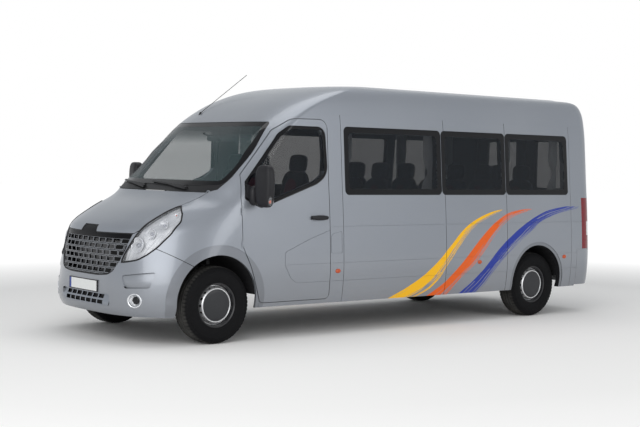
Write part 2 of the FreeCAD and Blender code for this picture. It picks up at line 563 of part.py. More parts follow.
bumper = layer(0.0, SKIN, front_prism(BUMPER_FRONT), side_prism(BUMPER_SIDE, 0.0, -SIDE_FAR))
for hole in (front_prism(LOWER_GRILLE), front_arch, mirrored(front_arch), fog_hole,
             mirrored(fog_hole)):
    bumper = bumper.cut(hole)
front_band = arch(FRONT_ARCH_Y, FRONT_ARCH_Z, FRONT_ARCH_R + ARCH_BAND)
scoop = front_prism(BUMPER_SCOOP)
bumper = pressed(bumper, BAND_DEPTH, front_band, mirrored(front_band))
bumper = pressed(bumper, SCOOP_DEPTH, scoop, mirrored(scoop))
add("front_bumper", bumper)

wing = layer(0.0, SKIN, side_prism(WING_SIDE, start=WING_IN))
wing = wing.cut(front_prism(BONNET, grow=SEAM)).cut(side_prism(CAB_DOOR, SEAM)).cut(front_arch)
wing = wing.cut(front_prism(GRILLE)).cut(front_prism(SCREEN, grow=PANE_CLEAR))
wing = beside(wing, front_prism, HEADLAMP)
wing = wing.cut(front_prism(SCUTTLE))
bumper_room = front_prism(BUMPER_FRONT).common(side_prism(BUMPER_SIDE))
bumper_line = front_prism(BUMPER_FRONT).common(side_prism(BUMPER_SIDE, GROOVE))
wing = wing.cut(bumper_room).cut(bumper_line.cut(body(GROOVE_DEPTH)))
wing = biggest(pressed(wing, BAND_DEPTH, front_band))

scuttle = biggest(layer(0.0, SKIN, front_prism(SCUTTLE)).cut(front_prism(SCREEN, grow=PANE_CLEAR)))


def face_y(x, z):
    """Where the outer surface lies at one place of the front view."""
    line = Part.makeLine(V(x, FRONT_SPAN[0], z), V(x, 0, z)).common(body(0.0))
    return min(vertex.Y for vertex in line.Vertexes)


WIPERS = [(540.0, -70.0), (-140.0, -720.0)]      # where each turns and where its blade ends
WIPER_PROUD, WIPER_CLEAR, ARM_REACH, PIVOT_R, PIVOT_DEPTH = 16.0, 4.0, 330.0, 15.0, 20.0
PIVOT_Z, BLADE_Z, BLADE_ROOT, BLADE_DROP, BLADE_TALL = 1416.0, 1464.0, 30.0, 30.0, 13.0
ARM_LOW, ARM_HIGH, ARM_OVER, ARM_END_DROP = 8.0, 10.0, 14.0, 14.0
for pivot_x, tip_x in WIPERS:
    root_x, arm_x = pivot_x - BLADE_ROOT, pivot_x - ARM_REACH
    blade = [(root_x, BLADE_Z - BLADE_DROP), (tip_x, BLADE_Z), (tip_x, BLADE_Z + BLADE_TALL),
             (root_x, BLADE_Z - BLADE_DROP + BLADE_TALL)]
    arm = [(pivot_x + ARM_OVER, PIVOT_Z - ARM_LOW), (arm_x, BLADE_Z - ARM_END_DROP), (arm_x, BLADE_Z),
           (pivot_x + ARM_OVER, PIVOT_Z + ARM_HIGH)]
    wiper = layer(-WIPER_PROUD, -WIPER_CLEAR, front_prism(blade).fuse(front_prism(arm)))
    y = face_y(pivot_x, PIVOT_Z)
    wiper = wiper.fuse(rod((pivot_x, y + PIVOT_DEPTH, PIVOT_Z - PIVOT_DEPTH),
                           (pivot_x, y - WIPER_PROUD, PIVOT_Z + WIPER_PROUD), PIVOT_R))
    scuttle = scuttle.fuse(biggest(wiper))

SCUTTLE_FOOT, BONNET_LEDGE, LEDGE_HEIGHT = 1389.0, 4.0, 200.0
ledge = Part.Face(level_outline(SCUTTLE_FOOT, SCUTTLE_FOOT, -BONNET_LEDGE)).extrude(UP * -LEDGE_HEIGHT)
bonnet = layer(0.0, SKIN, front_prism(BONNET)).cut(ledge)
BONNET_AXIS_Y, BONNET_AXIS_Z, BONNET_HINGE_X, BONNET_BARREL = -2250.0, 1397.0, 802.0, 17.0
BONNET_LUG, NOTCH_FRONT, NOTCH_SIDE, NOTCH_LOW, NOTCH_HIGH = 33.0, 45.0, 2.0, 14.0, 9.0
moving, fixed, moving_room, fixed_room = hinge_barrels(
    (BONNET_HINGE_X, BONNET_AXIS_Y, BONNET_AXIS_Z), (-1, 0, 0), (0, -1, -1), (0, 0.6, -1),
    BONNET_BARREL, BONNET_LUG)
notch = block((BONNET_HINGE_X - 2 * BONNET_BARREL - NOTCH_SIDE, BONNET_AXIS_Y - NOTCH_FRONT,
               BONNET_AXIS_Z - NOTCH_LOW),
              (BONNET_HINGE_X - BONNET_BARREL, BONNET_AXIS_Y + BARREL_R + BARREL_ROOM,
               BONNET_AXIS_Z + NOTCH_HIGH))
for tool in (notch, fixed_room, fixed):
    scuttle = scuttle.cut(tool).cut(mirrored(tool))
wing = wing.cut(notch).fuse(fixed)
bonnet = bonnet.cut(fixed_room).cut(mirrored(fixed_room)).fuse([moving, mirrored(moving)])
add("scuttle", scuttle)

CARRIER_IN = WALL - 2 * PANE_CLEAR
CARRIER_SHARES = [(-1.0587, 0.1619), (1.0587, 0.1619), (1.0587, 0.5223), (-1.0587, 0.5223)]
CARRIER_BACK, GRILLE_MARGIN, LOWER_MARGIN = -2420.0, 30.0, 12.0
carrier = layer(SKIN, CARRIER_IN, front_prism(from_front(CARRIER_SHARES), end=CARRIER_BACK))
carrier = carrier.cut(front_prism(BONNET, grow=SEAM)).cut(front_prism(GRILLE, grow=-GRILLE_MARGIN))
for opening in (front_well, mirrored(front_well), front_prism(LOWER_GRILLE, grow=-LOWER_MARGIN)):
    carrier = carrier.cut(opening)
add("front_carrier", biggest(carrier))

# Rear end.
REAR_DOOR_THICK = 50.0
rear_door = layer(0.0, REAR_DOOR_THICK, front_prism(REAR_DOOR, 0.0, *REAR_SPAN))
rear_door, rear_pane = glazed(rear_door, REAR_PANE, front_prism, start=REAR_SPAN[0],
                              end=REAR_SPAN[1])
REAR_HINGE_X, REAR_HINGE_Y, REAR_HINGES = 815.0, 3045.0, (900.0, 1600.0)
for z in REAR_HINGES:
    moving, fixed, moving_room, fixed_room = hinge_barrels(
        (REAR_HINGE_X, REAR_HINGE_Y, z), (0, 0, 1), (-1, -0.8, 0), (1, -0.8, 0))
    rear_door = rear_door.cut(fixed_room).fuse(moving)
    side = side.cut(moving_room).fuse(fixed)
    side_right = side_right.cut(mirrored(moving_room)).fuse(mirrored(fixed))
    tail_lamp = tail_lamp.cut(fixed)
REAR_HANDLE_X, REAR_HANDLE_LENGTH, REAR_HANDLE_Z = 40.0, 175.0, 1110.0
rear_handle = handle(front_prism, REAR_HANDLE_X, REAR_HANDLE_LENGTH, REAR_HANDLE_Z, *REAR_SPAN)
add("rear_door_left", rear_door)
add("rear_door_right", mirrored(rear_door.fuse(rear_handle)))
add("rear_glass_left", rear_pane)
add("rear_glass_right", mirrored(rear_pane))
add("tail_lamps", tail_lamp, mirrored(tail_lamp))
add("side_left", side)
add("side_right", side_right)
add("sliding_door", sliding_door)

BUMPER_FRONT_Y, BUMPER_TOP, CORNER_IN = BUMPER_CORNER[0][0], BUMPER_CORNER[1][1], 400.0
REAR_BUMPER_LOW, STEP_LOW, STEP_TOP, VALANCE_TOP = 330.0, 395.0, 500.0, 505.0
STEP_HALF, STEP_FRONT = 780.0, 3030.0
corner = layer(0.0, WALL, block((CORNER_IN, BUMPER_FRONT_Y, REAR_BUMPER_LOW),
                                (SIDE_FAR, REAR_SPAN[1], BUMPER_TOP)))
corner = corner.cut(block((CORNER_IN - OVERRUN, BUMPER_FRONT_Y - OVERRUN, VALANCE_TOP),
                          (REAR_DOOR_X + SEAM, REAR_SPAN[1], BUMPER_TOP + OVERRUN)))
step = block((-STEP_HALF, STEP_FRONT, STEP_LOW), (STEP_HALF, HALF_LENGTH, STEP_TOP))
valance = layer(0.0, WALL, block((-CORNER_IN, BUMPER_FRONT_Y, REAR_BUMPER_LOW),
                                 (CORNER_IN, REAR_SPAN[1], VALANCE_TOP)))
add("rear_bumper", corner.fuse([mirrored(corner), valance, step]))

PLATE_HALF, PLATE_HEIGHT, PLATE_PROUD, PLATE_ROOT = 260.0, 110.0, 5.0, 50.0
FRONT_PLATE_Z, REAR_PLATE_X, REAR_PLATE_Z, REAR_FACE = 455.0, 390.0, 640.0, 3040.0
front_plate = block((-PLATE_HALF, -HALF_LENGTH - PLATE_PROUD, FRONT_PLATE_Z),
                    (PLATE_HALF, PLATE_ROOT - HALF_LENGTH, FRONT_PLATE_Z + PLATE_HEIGHT))
rear_plate = block((REAR_PLATE_X - PLATE_HALF, REAR_FACE - PLATE_ROOT, REAR_PLATE_Z),
                   (REAR_PLATE_X + PLATE_HALF, REAR_FACE + PLATE_PROUD, REAR_PLATE_Z + PLATE_HEIGHT))
add("front_plate", front_plate.cut(body(0.0)))
add("rear_plate", rear_plate.cut(body(0.0)))

# Cab doors.
door = layer(0.0, WALL, side_prism(CAB_DOOR))
door, cab_pane = glazed(door, CAB_PANE, side_prism, band=CAB_BAND)
PRESSING_FRONT = DOOR_PRESSING[4][0]
door = pressed(door, LINE_DEPTH, ring_line(side_prism, DOOR_PRESSING, LINE_HALF),
               side_line((PRESSING_FRONT, BELT_TOP - LINE_HALF), (LINES_FRONT, BELT_TOP + LINE_HALF)))
CAB_HANDLE_Y, CAB_HANDLE_LENGTH, CAB_HANDLE_Z = -1205.0, 195.0, 1130.0
door = door.fuse(handle(side_prism, CAB_HANDLE_Y, CAB_HANDLE_LENGTH, CAB_HANDLE_Z))
DOOR_LEAN = 0.054             # the hinge line leans inwards with the body side
CAB_HINGE, CAB_HINGES = V(1029.5, -2027.0, 1000.0), (880.0, 1180.0)
for z in CAB_HINGES:
    foot = (CAB_HINGE.x - DOOR_LEAN * (z - CAB_HINGE.z), CAB_HINGE.y, z)
    moving, fixed, moving_room, fixed_room = hinge_barrels(
        foot, (-DOOR_LEAN, 0, 1), (-0.7, 1, 0), (-0.7, -1, 0))
    door = door.cut(fixed_room).fuse(moving)
    wing = wing.cut(moving_room).fuse(fixed)
add("cab_door_left", door)
add("cab_door_right", mirrored(door))
add("cab_glass_left", cab_pane)
add("cab_glass_right", mirrored(cab_pane))
add("bonnet", bonnet)
add("front_wings", wing, mirrored(wing))

MIRROR_W, MIRROR_D, MIRROR_H, MIRROR_ROUND = 185.0, 110.0, 385.0, 42.0
MIRROR_X, MIRROR_Y, MIRROR_Z = 1050.0, -1905.0, 1258.0
MIRROR_FOOT_SHARES = [(-0.6373, 0.5445, 0.004), (-0.6308, 0.5951, 0.004), (-0.6002, 0.5749, 0.0121),
                      (-0.5857, 0.5109, 0.004)]
FOOT_PROUD, MIRROR_ARM_R = 12.0, 28.0
MIRROR_ARM = [(1000.0, -1890.0, 1330.0), (1100.0, -1860.0, 1330.0)]
mirror_head = Part.makeBox(MIRROR_W, MIRROR_D, MIRROR_H, V(MIRROR_X, MIRROR_Y, MIRROR_Z))
mirror_head = mirror_head.makeFillet(MIRROR_ROUND, mirror_head.Edges)
mirror_foot = layer(-FOOT_PROUD, GLASS_OUT, side_prism(from_side(MIRROR_FOOT_SHARES)))
mirror_arm = rod(*MIRROR_ARM, MIRROR_ARM_R).cut(body(0.0))
add("mirror_left", mirror_head.fuse([mirror_foot, mirror_arm]))
add("mirror_right", mirrored(parts["mirror_left"]))

# Floor, frame and running gear.
FLOOR_LOW, FLOOR_TOP = 480.0, 540.0
FLOOR_HALF, CAB_FLOOR_HALF = 1100.0, 955.0
CAB_FLOOR_FRONT, SALOON_FRONT, FLOOR_BACK = -1800.0, -960.0, 2985.0
TOE_HALF = 890.0
TOE_FOOT_SHARE = FLOOR_LOW / ROOF_HEIGHT      # the toe board ends level with the floor's underside
TOE_SHARES = [(-0.5808, TOE_FOOT_SHARE), (-0.5808, 0.2186), (-0.6212, 0.3077), (-0.6825, 0.3401),
              (-0.6825, 0.5385), (-0.6954, 0.5385), (-0.6954, 0.3279), (-0.6325, 0.2915),
              (-0.5905, TOE_FOOT_SHARE)]
FIT = 1.0                     # how far two fused solids reach into each other
floor = block((-FLOOR_HALF, SALOON_FRONT, FLOOR_LOW), (FLOOR_HALF, FLOOR_BACK, FLOOR_TOP))
floor = floor.common(body(WALL + CLEAR))
floor = floor.fuse([block((-CAB_FLOOR_HALF, CAB_FLOOR_FRONT, FLOOR_LOW),
                          (CAB_FLOOR_HALF, SALOON_FRONT + FIT, FLOOR_TOP)),
                    side_prism(from_side(TOE_SHARES), start=-TOE_HALF, end=TOE_HALF)])
for well in (front_well, rear_well):
    floor = floor.cut(well).cut(mirrored(well))
add("floor_pan", floor)

RAIL_X, RAIL_HALF, RAIL_LOW, RAIL_FRONT, RAIL_BACK = 470.0, 40.0, 395.0, -3150.0, 2980.0
PAD_HALF, PAD_Y, PAD_REACH, PAD_DROP = 30.0, -1300.0, 50.0, 40.0
MEMBER_LOW, MEMBER_HIGH, MEMBER_LENGTH = 400.0, 470.0, 70.0
MEMBER_SHARES = [-0.965, -0.839, -0.484, 0.0, 0.452, 0.871]
BLOCK_PAIR = (-1, 1)          # the right and the left one of a pair
rails = [block((s * RAIL_X - RAIL_HALF, RAIL_FRONT, RAIL_LOW),
               (s * RAIL_X + RAIL_HALF, RAIL_BACK, FLOOR_LOW)) for s in BLOCK_PAIR]
pads = [block((s * RAIL_X - PAD_HALF, PAD_Y - PAD_REACH, RAIL_LOW - PAD_DROP),
              (s * RAIL_X + PAD_HALF, PAD_Y + PAD_REACH, RAIL_LOW)) for s in BLOCK_PAIR]
members = []
for share in MEMBER_SHARES:
    y = share * HALF_LENGTH
    members.append(block((RAIL_HALF - RAIL_X - FIT, y, MEMBER_LOW),
                         (RAIL_X - RAIL_HALF + FIT, y + MEMBER_LENGTH, MEMBER_HIGH)))
frame = rails[0].fuse(rails[1:] + members + pads).common(body(CARRIER_IN + CLEAR))
add("chassis_frame", frame)

ENGINE_HALF, ENGINE_FRONT, ENGINE_BACK, ENGINE_LOW, ENGINE_TOP = 330.0, -2820.0, -2300.0, 470.0, 1010.0
RADIATOR_HALF, RADIATOR_FRONT, RADIATOR_BACK, RADIATOR_TOP = 420.0, -2950.0, -2910.0, 930.0
add("engine_block",
    block((-ENGINE_HALF, ENGINE_FRONT, ENGINE_LOW), (ENGINE_HALF, ENGINE_BACK, ENGINE_TOP)),
    block((-RADIATOR_HALF, RADIATOR_FRONT, ENGINE_LOW), (RADIATOR_HALF, RADIATOR_BACK, RADIATOR_TOP)))

SUBFRAME_HALF, SUBFRAME_FRONT, SUBFRAME_BACK = 540.0, -2400.0, -2120.0
SUBFRAME_LOW, SUBFRAME_TOP = 300.0, 350.0
LEG_X, LEG_HALF, LEG_REACH = 485.0, 50.0, 60.0
KINGPIN_X, KINGPIN_R = 790.0, 10.0
ARM_X, ARM_R, ARM_ROOT_Z, ARM_Z = 480.0, 16.0, 320.0, 246.0
ARM_PIN_TOP, TOP_PIN_FOOT, ARM_TOP_Z = 306.0, 738.0, 756.0
POST_IN, POST_OUT, POST_REACH, POST_FOOT, POST_CAP = 510.0, 545.0, 30.0, 380.0, 10.0
TOP_ARM_REACH, TOP_ARM_THICK = 18.0, 14.0


def across_block(side, inner, outer, y_reach, low, high):
    """A block on one side of the front axle, from an inner to an outer distance from the middle."""
    edges = sorted((side * inner, side * outer))
    return block((edges[0], FRONT_AXLE_Y - y_reach, low), (edges[1], FRONT_AXLE_Y + y_reach, high))


subframe = block((-SUBFRAME_HALF, SUBFRAME_FRONT, SUBFRAME_LOW),
                 (SUBFRAME_HALF, SUBFRAME_BACK, SUBFRAME_TOP))
for s in BLOCK_PAIR:
    pin_x = s * KINGPIN_X
    subframe = subframe.fuse([
        across_block(s, LEG_X - LEG_HALF, LEG_X + LEG_HALF, LEG_REACH, SUBFRAME_TOP - FIT, RAIL_LOW),
        rod((s * ARM_X, FRONT_AXLE_Y, ARM_ROOT_Z), (pin_x, FRONT_AXLE_Y, ARM_Z), ARM_R),
        rod((pin_x, FRONT_AXLE_Y, ARM_Z - ARM_R + FIT), (pin_x, FRONT_AXLE_Y, ARM_PIN_TOP), KINGPIN_R),
        across_block(s, POST_IN, POST_OUT, POST_REACH, POST_FOOT, ARM_TOP_Z + POST_CAP),
        across_block(s, POST_IN, KINGPIN_X + TOP_ARM_REACH, TOP_ARM_REACH, ARM_TOP_Z,
                     ARM_TOP_Z + TOP_ARM_THICK),
        rod((pin_x, FRONT_AXLE_Y, TOP_PIN_FOOT), (pin_x, FRONT_AXLE_Y, ARM_TOP_Z + FIT), KINGPIN_R)])
add("front_axle", subframe)

HUB_R, SPINDLE_R, BRAKE_R, BRAKE_HALF = 52.0, 30.0, 140.0, 30.0
HUB_FACE, SPINDLE_END = 57.0, 79.0
AXLE_HALF, AXLE_REACH, AXLE_LOW, AXLE_TOP, HUB_ROOT = 720.0, 45.0, 300.0, 385.0, 700.0
SPRING_X, SPRING_HALF, SPRING_REACH, SPRING_THICK, SHACKLE = 600.0, 35.0, 650.0, 20.0, 60.0
axle = block((-AXLE_HALF, REAR_AXLE_Y - AXLE_REACH, AXLE_LOW),
             (AXLE_HALF, REAR_AXLE_Y + AXLE_REACH, AXLE_TOP))


def stub(x_from, x_to, y, radius):
    """A round piece on a wheel's own axis, between two distances across the vehicle."""
    return rod((x_from, y, TYRE_RADIUS), (x_to, y, TYRE_RADIUS), radius)


def spring_block(side, y_from, y_to, low, high):
    return block((side * SPRING_X - SPRING_HALF, REAR_AXLE_Y + y_from, low),
                 (side * SPRING_X + SPRING_HALF, REAR_AXLE_Y + y_to, high))


hubs = []
for s in BLOCK_PAIR:
    x = REAR_TRACK / 2
    hubs += [stub(s * HUB_ROOT, s * (x + HUB_FACE), REAR_AXLE_Y, HUB_R),
             stub(s * HUB_ROOT, s * (x + SPINDLE_END), REAR_AXLE_Y, SPINDLE_R),
             stub(s * (x - BRAKE_HALF), s * (x + BRAKE_HALF), REAR_AXLE_Y, BRAKE_R),
             spring_block(s, -SPRING_REACH, SPRING_REACH, AXLE_TOP, AXLE_TOP + SPRING_THICK),
             spring_block(s, -SPRING_REACH, SHACKLE - SPRING_REACH, AXLE_TOP + SPRING_THICK - FIT,
                          FLOOR_LOW),
             spring_block(s, SPRING_REACH - SHACKLE, SPRING_REACH, AXLE_TOP + SPRING_THICK - FIT,
                          FLOOR_LOW)]
add("rear_axle", axle.fuse(hubs))

LINER_THICK, LINER_FOOT, LINER_CLEAR = 5.0, 440.0, 8.0


def liner(well, inner, depth):
    """The sheet that lines a wheel well, with its inner wall, open downwards and outwards."""
    box = well.BoundBox
    room = Part.makeCylinder(box.ZLength / 2 - LINER_THICK, WELL_LENGTH,
                             V(inner + LINER_THICK, box.Center.y, box.Center.z), ACROSS)
    sheet = well.cut(room).common(body(depth))
    return sheet.cut(block((inner - LINER_THICK, box.YMin - LINER_THICK, box.ZMin - LINER_FOOT),
                           (SIDE_FAR, box.YMax + LINER_THICK, LINER_FOOT)))


arm_window = block((POST_IN - LINER_CLEAR, FRONT_AXLE_Y - 2 * POST_REACH, MEMBER_LOW),
                   (FRONT_WELL_X + LINER_CLEAR, FRONT_AXLE_Y + 2 * POST_REACH,
                    ARM_TOP_Z + 2 * POST_CAP))
front_liner = liner(front_well, FRONT_WELL_X, SKIN + CLEAR).cut(arm_window)
rear_liner = liner(rear_well, REAR_WELL_X, WALL + CLEAR)
add("arch_liners", front_liner, mirrored(front_liner), rear_liner, mirrored(rear_liner))

PIPE_X, PIPE_Z, PIPE_R, SILENCER_R = -250.0, 330.0, 28.0, 80.0
PIPE_SHARES = [-0.678, 0.194, 0.403, 0.549]      # front end, silencer's ends, rear end
HANGER_HALF, HANGER_LENGTH, HANGER_FOOT = 12.0, 30.0, 10.0
pipe_y = [share * HALF_LENGTH for share in PIPE_SHARES]
pipe = rod((PIPE_X, pipe_y[0], PIPE_Z), (PIPE_X, pipe_y[3], PIPE_Z), PIPE_R)
pipe = pipe.fuse(rod((PIPE_X, pipe_y[1], PIPE_Z), (PIPE_X, pipe_y[2], PIPE_Z), SILENCER_R))
for share in (MEMBER_SHARES[2], MEMBER_SHARES[3], MEMBER_SHARES[4]):
    y = share * HALF_LENGTH + HANGER_LENGTH / 2
    pipe = pipe.fuse(block((PIPE_X - HANGER_HALF, y, PIPE_Z + HANGER_FOOT),
                           (PIPE_X + HANGER_HALF, y + HANGER_LENGTH, MEMBER_LOW)))
add("exhaust", pipe)
TANK_IN, TANK_OUT, TANK_FRONT, TANK_BACK, TANK_LOW, TANK_ROUND = 540.0, 900.0, -900.0, 200.0, 330.0, 30.0
tank = block((TANK_IN, TANK_FRONT, TANK_LOW), (TANK_OUT, TANK_BACK, FLOOR_LOW))
add("fuel_tank", tank.makeFillet(TANK_ROUND, [edge for edge in tank.Edges
                                              if edge.BoundBox.ZMax < FLOOR_LOW - FIT]))

# Steered hub carriers and wheels.
hub_x = FRONT_TRACK / 2
KNUCKLE_ROOT, UPRIGHT_X, UPRIGHT_R, UPRIGHT_FOOT = 736.0, 732.0, 18.0, 330.0
BRIDGE_IN, BRIDGE_LOW, BRIDGE_TOP, BRIDGE_REACH, BRIDGE_OVER = 722.0, 722.0, 748.0, 18.0, 20.0
BOSS_R, BOSS_FOOT, DISC_HALF, PIN_ROOM = 22.0, 272.0, 12.0, 1.0
knuckle = stub(KNUCKLE_ROOT, hub_x + HUB_FACE, FRONT_AXLE_Y, HUB_R)
knuckle = knuckle.fuse([
    stub(KNUCKLE_ROOT, hub_x + SPINDLE_END, FRONT_AXLE_Y, SPINDLE_R),
    stub(hub_x - DISC_HALF, hub_x + DISC_HALF, FRONT_AXLE_Y, BRAKE_R),
    rod((UPRIGHT_X, FRONT_AXLE_Y, UPRIGHT_FOOT), (UPRIGHT_X, FRONT_AXLE_Y, BRIDGE_TOP), UPRIGHT_R),
    across_block(1, BRIDGE_IN, KINGPIN_X + BRIDGE_OVER, BRIDGE_REACH, BRIDGE_LOW, BRIDGE_TOP),
    rod((KINGPIN_X, FRONT_AXLE_Y, BOSS_FOOT), (KINGPIN_X, FRONT_AXLE_Y, UPRIGHT_FOOT), BOSS_R)])
for low, high in ((ARM_Z - BOSS_R, ARM_PIN_TOP + PIN_ROOM), (TOP_PIN_FOOT - PIN_ROOM, ARM_TOP_Z + BOSS_R)):
    knuckle = knuckle.cut(rod((KINGPIN_X, FRONT_AXLE_Y, low), (KINGPIN_X, FRONT_AXLE_Y, high),
                              KINGPIN_R + RUNNING))
add("knuckle_left", knuckle)
add("knuckle_right", mirrored(knuckle))

# Profiles as shares of half the tyre's width, across, and of its radius.
RIM_SEAT_SHARE = 0.5758
TYRE_SHARES = [(0.841, RIM_SEAT_SHARE), (0.973, 0.646), (1, 0.772), (0.947, 0.885), (0.805, 0.966),
               (0.646, 0.992), (0.469, 1)]
RIM_SHARES = [(-0.841, RIM_SEAT_SHARE), (-0.841, 0.5506), (-0.708, 0.5225), (0.195, 0.5225),
              (0.265, 0.4775), (0.531, 0.4213), (0.619, 0.3876), (0.619, 0.1685), (0.513, 0.1573)]
FACE_SHARES = [(0.796, 0), (0.788, 0.1685), (0.761, 0.3371), (0.708, 0.4073), (0.752, 0.4185),
               (0.752, 0.4354), (0.69, 0.4522), (0.407, 0.5), (0.389, 0.5281), (0.761, 0.5393),
               (0.814, 0.5562), (0.814, RIM_SEAT_SHARE)]
half = TYRE_WIDTH / 2


def profile_points(shares):
    return [(across * half, radius * TYRE_RADIUS) for across, radius in shares]


bore = SPINDLE_R + RUNNING
SPINDLE_ROOM = 1.0
tyre_profile = profile_points([(-a, r) for a, r in TYRE_SHARES] + TYRE_SHARES[::-1])
hub_seat = [(HUB_FACE + SPINDLE_ROOM, bore), (SPINDLE_END + SPINDLE_ROOM, bore),
            (SPINDLE_END + SPINDLE_ROOM, 0)]
rim_profile = profile_points(RIM_SHARES) + hub_seat + profile_points(FACE_SHARES)
HOLES, HOLE_R, HOLE_LENGTH, HOLE_ACROSS, HOLE_PITCH_R = 16, 15.0, 44.0, 46.0, 140.0
HOLE_LEAN = math.radians(62)  # the holes look outwards, square to the drum's flank
wheels = {"front_left": (hub_x, FRONT_AXLE_Y), "front_right": (-hub_x, FRONT_AXLE_Y),
          "rear_left": (REAR_TRACK / 2, REAR_AXLE_Y), "rear_right": (-REAR_TRACK / 2, REAR_AXLE_Y)}
holes = []
for i in range(HOLES):
    turn = 2 * math.pi * i / HOLES
    radial = V(0, math.sin(turn), math.cos(turn))
    holes.append(Part.makeCylinder(HOLE_R, HOLE_LENGTH, ACROSS * HOLE_ACROSS + radial * HOLE_PITCH_R,
                                   ACROSS * math.cos(HOLE_LEAN) + radial * math.sin(HOLE_LEAN)))
tyre = turned(tyre_profile, (0, 0, 0))
rim = turned(rim_profile, (0, 0, 0)).cut(Part.makeCompound(holes))
for place, (x, y) in wheels.items():
    for name, solid in (("tyre_", tyre), ("rim_", rim)):
        if x < 0:
            solid = mirrored(solid)
        solid = solid.copy()
        solid.translate(V(x, y, TYRE_RADIUS))
        add(name + place, solid)

# Interior.
COLUMN = V(0, 0.8, 0.6)
WHEEL_CENTRE = V(430, -1545, 1185)
DASH_HALF, DASH_DEPTH = 900.0, 72.0
DASH_SHARES = [(-0.6825, 0.5364, 0.008), (-0.5744, 0.5223, 0.024), (-0.5534, 0.4899, 0.016),
               (-0.5679, 0.4089, 0.016), (-0.6131, 0.3644, 0.012), (-0.6825, 0.3644)]
SHROUD_R, SHROUD_LENGTH, SHROUD_GAP, SHROUD_BORE = 42.0, 230.0, 58.0, 90.0
WHEEL_R, WHEEL_GRIP, WHEEL_BOSS_R, BOSS_HEIGHT, BOSS_DROP = 190.0, 15.0, 48.0, 34.0, 50.0
SPOKE_R, SPOKE_REACH, SPOKE_DROP = 13.0, 186.0, 30.0
STEM_R, STEM_LENGTH, STEM_DROP = 22.0, 88.0, 138.0
SPOKE_TURNS = [math.radians(d) for d in (-15, 195, 270)]
dash = side_prism(from_side(DASH_SHARES), start=-DASH_HALF, end=DASH_HALF).common(body(DASH_DEPTH))
shroud_top = WHEEL_CENTRE - COLUMN * SHROUD_GAP
shroud = Part.makeCylinder(SHROUD_R, SHROUD_LENGTH, shroud_top - COLUMN * SHROUD_LENGTH, COLUMN)
shroud_bore = Part.makeCylinder(STEM_R + RUNNING, SHROUD_BORE, shroud_top - COLUMN * SHROUD_BORE, COLUMN)
add("dashboard", dash.fuse(shroud).cut(shroud_bore))

ring = Part.makeTorus(WHEEL_R, WHEEL_GRIP, V(0, 0, 0), UP)
boss = Part.makeCylinder(WHEEL_BOSS_R, BOSS_HEIGHT, V(0, 0, -BOSS_DROP))
spokes = [rod((0, 0, -SPOKE_DROP), (SPOKE_REACH * math.cos(a), SPOKE_REACH * math.sin(a), 0), SPOKE_R)
          for a in SPOKE_TURNS]
stem = Part.makeCylinder(STEM_R, STEM_LENGTH, V(0, 0, -STEM_DROP))
wheel = ring.fuse([boss, stem] + spokes)
wheel.Placement = FreeCAD.Placement(WHEEL_CENTRE, FreeCAD.Rotation(UP, COLUMN))
add("steering_wheel", wheel)

# Seat outline as shares of the seat's depth, along, and of its back's height, up.
SEAT_DEPTH, SEAT_BACK, SEAT_HEIGHT = 545.0, 650.0, 320.0
SEAT_SHARES = [(0, 0, 0.038), (-0.015, 0.154, 0.069), (0.734, 0.172, 0.077), (0.848, 1, 0.055),
               (1, 0.988, 0.062), (0.9, 0, 0.092)]
SEAT_PITCH, LEG_INSET, LEG_FRONT, LEG_BACK, LEG_RISE = 440.0, 60.0, 80.0, 380.0, 30.0
HEAD_HALF, HEAD_FRONT, HEAD_BACK, HEAD_LOW, HEAD_TOP, HEAD_ROUND = 125.0, 462.0, 548.0, 620.0, 810.0, 30.0


def seat(x, y, floor_z, width, plinth=0.0):
    """A high-backed seat for one or two people, facing forwards."""
    base = floor_z + plinth + SEAT_HEIGHT
    points = [(y + u * SEAT_DEPTH, base + v * SEAT_BACK, r * SEAT_BACK) for u, v, r in SEAT_SHARES]
    shell = side_prism(points, start=x, end=x + width)
    leg = block((x + LEG_INSET, y + LEG_FRONT, floor_z),
                (x + width - LEG_INSET, y + LEG_BACK, base + LEG_RISE))
    places = round(width / SEAT_PITCH)
    heads = []
    for i in range(places):
        middle = x + width * (2 * i + 1) / (2 * places)
        head = block((middle - HEAD_HALF, y + HEAD_FRONT, base + HEAD_LOW),
                     (middle + HEAD_HALF, y + HEAD_BACK, base + HEAD_TOP))
        heads.append(head.makeFillet(HEAD_ROUND, head.Edges))
    return shell.fuse([leg] + heads)


CAB_SEAT_Y, CAB_PLINTH, DRIVER_X, DRIVER_WIDTH, BENCH_X, BENCH_WIDTH = -1420.0, 60.0, 180.0, 500.0, -860.0, 880.0
FIRST_ROW, ROW_PITCH, ROWS = -480.0, 780.0, 4
PAIR_X, SINGLE_X, SINGLE_WIDTH, BACK_WIDTH = -30.0, -850.0, 430.0, 700.0
add("cab_seats", seat(DRIVER_X, CAB_SEAT_Y, FLOOR_TOP, DRIVER_WIDTH, CAB_PLINTH),
    seat(BENCH_X, CAB_SEAT_Y, FLOOR_TOP, BENCH_WIDTH, CAB_PLINTH))
rows = [FIRST_ROW + ROW_PITCH * i for i in range(ROWS)]
saloon = [seat(PAIR_X, y, FLOOR_TOP, BENCH_WIDTH) for y in rows[:3]]
saloon += [seat(PAIR_X, rows[3], FLOOR_TOP, BACK_WIDTH)]
saloon += [seat(SINGLE_X, y, FLOOR_TOP, SINGLE_WIDTH) for y in rows[1:3]]
add("saloon_seats", *saloon)

CURTAIN_X, CURTAIN_THICK, CURTAIN_WIDTH, CURTAIN_TOP = 862.0, 10.0, 110.0, 2062.0
CURTAIN_FOOT, RAIL_THICK, RAIL_REACH = 1330.0, 10.0, 1000.0
CURTAIN_PLACES_SHARES = [-0.2259, 0.142, 0.5292, 0.7873]


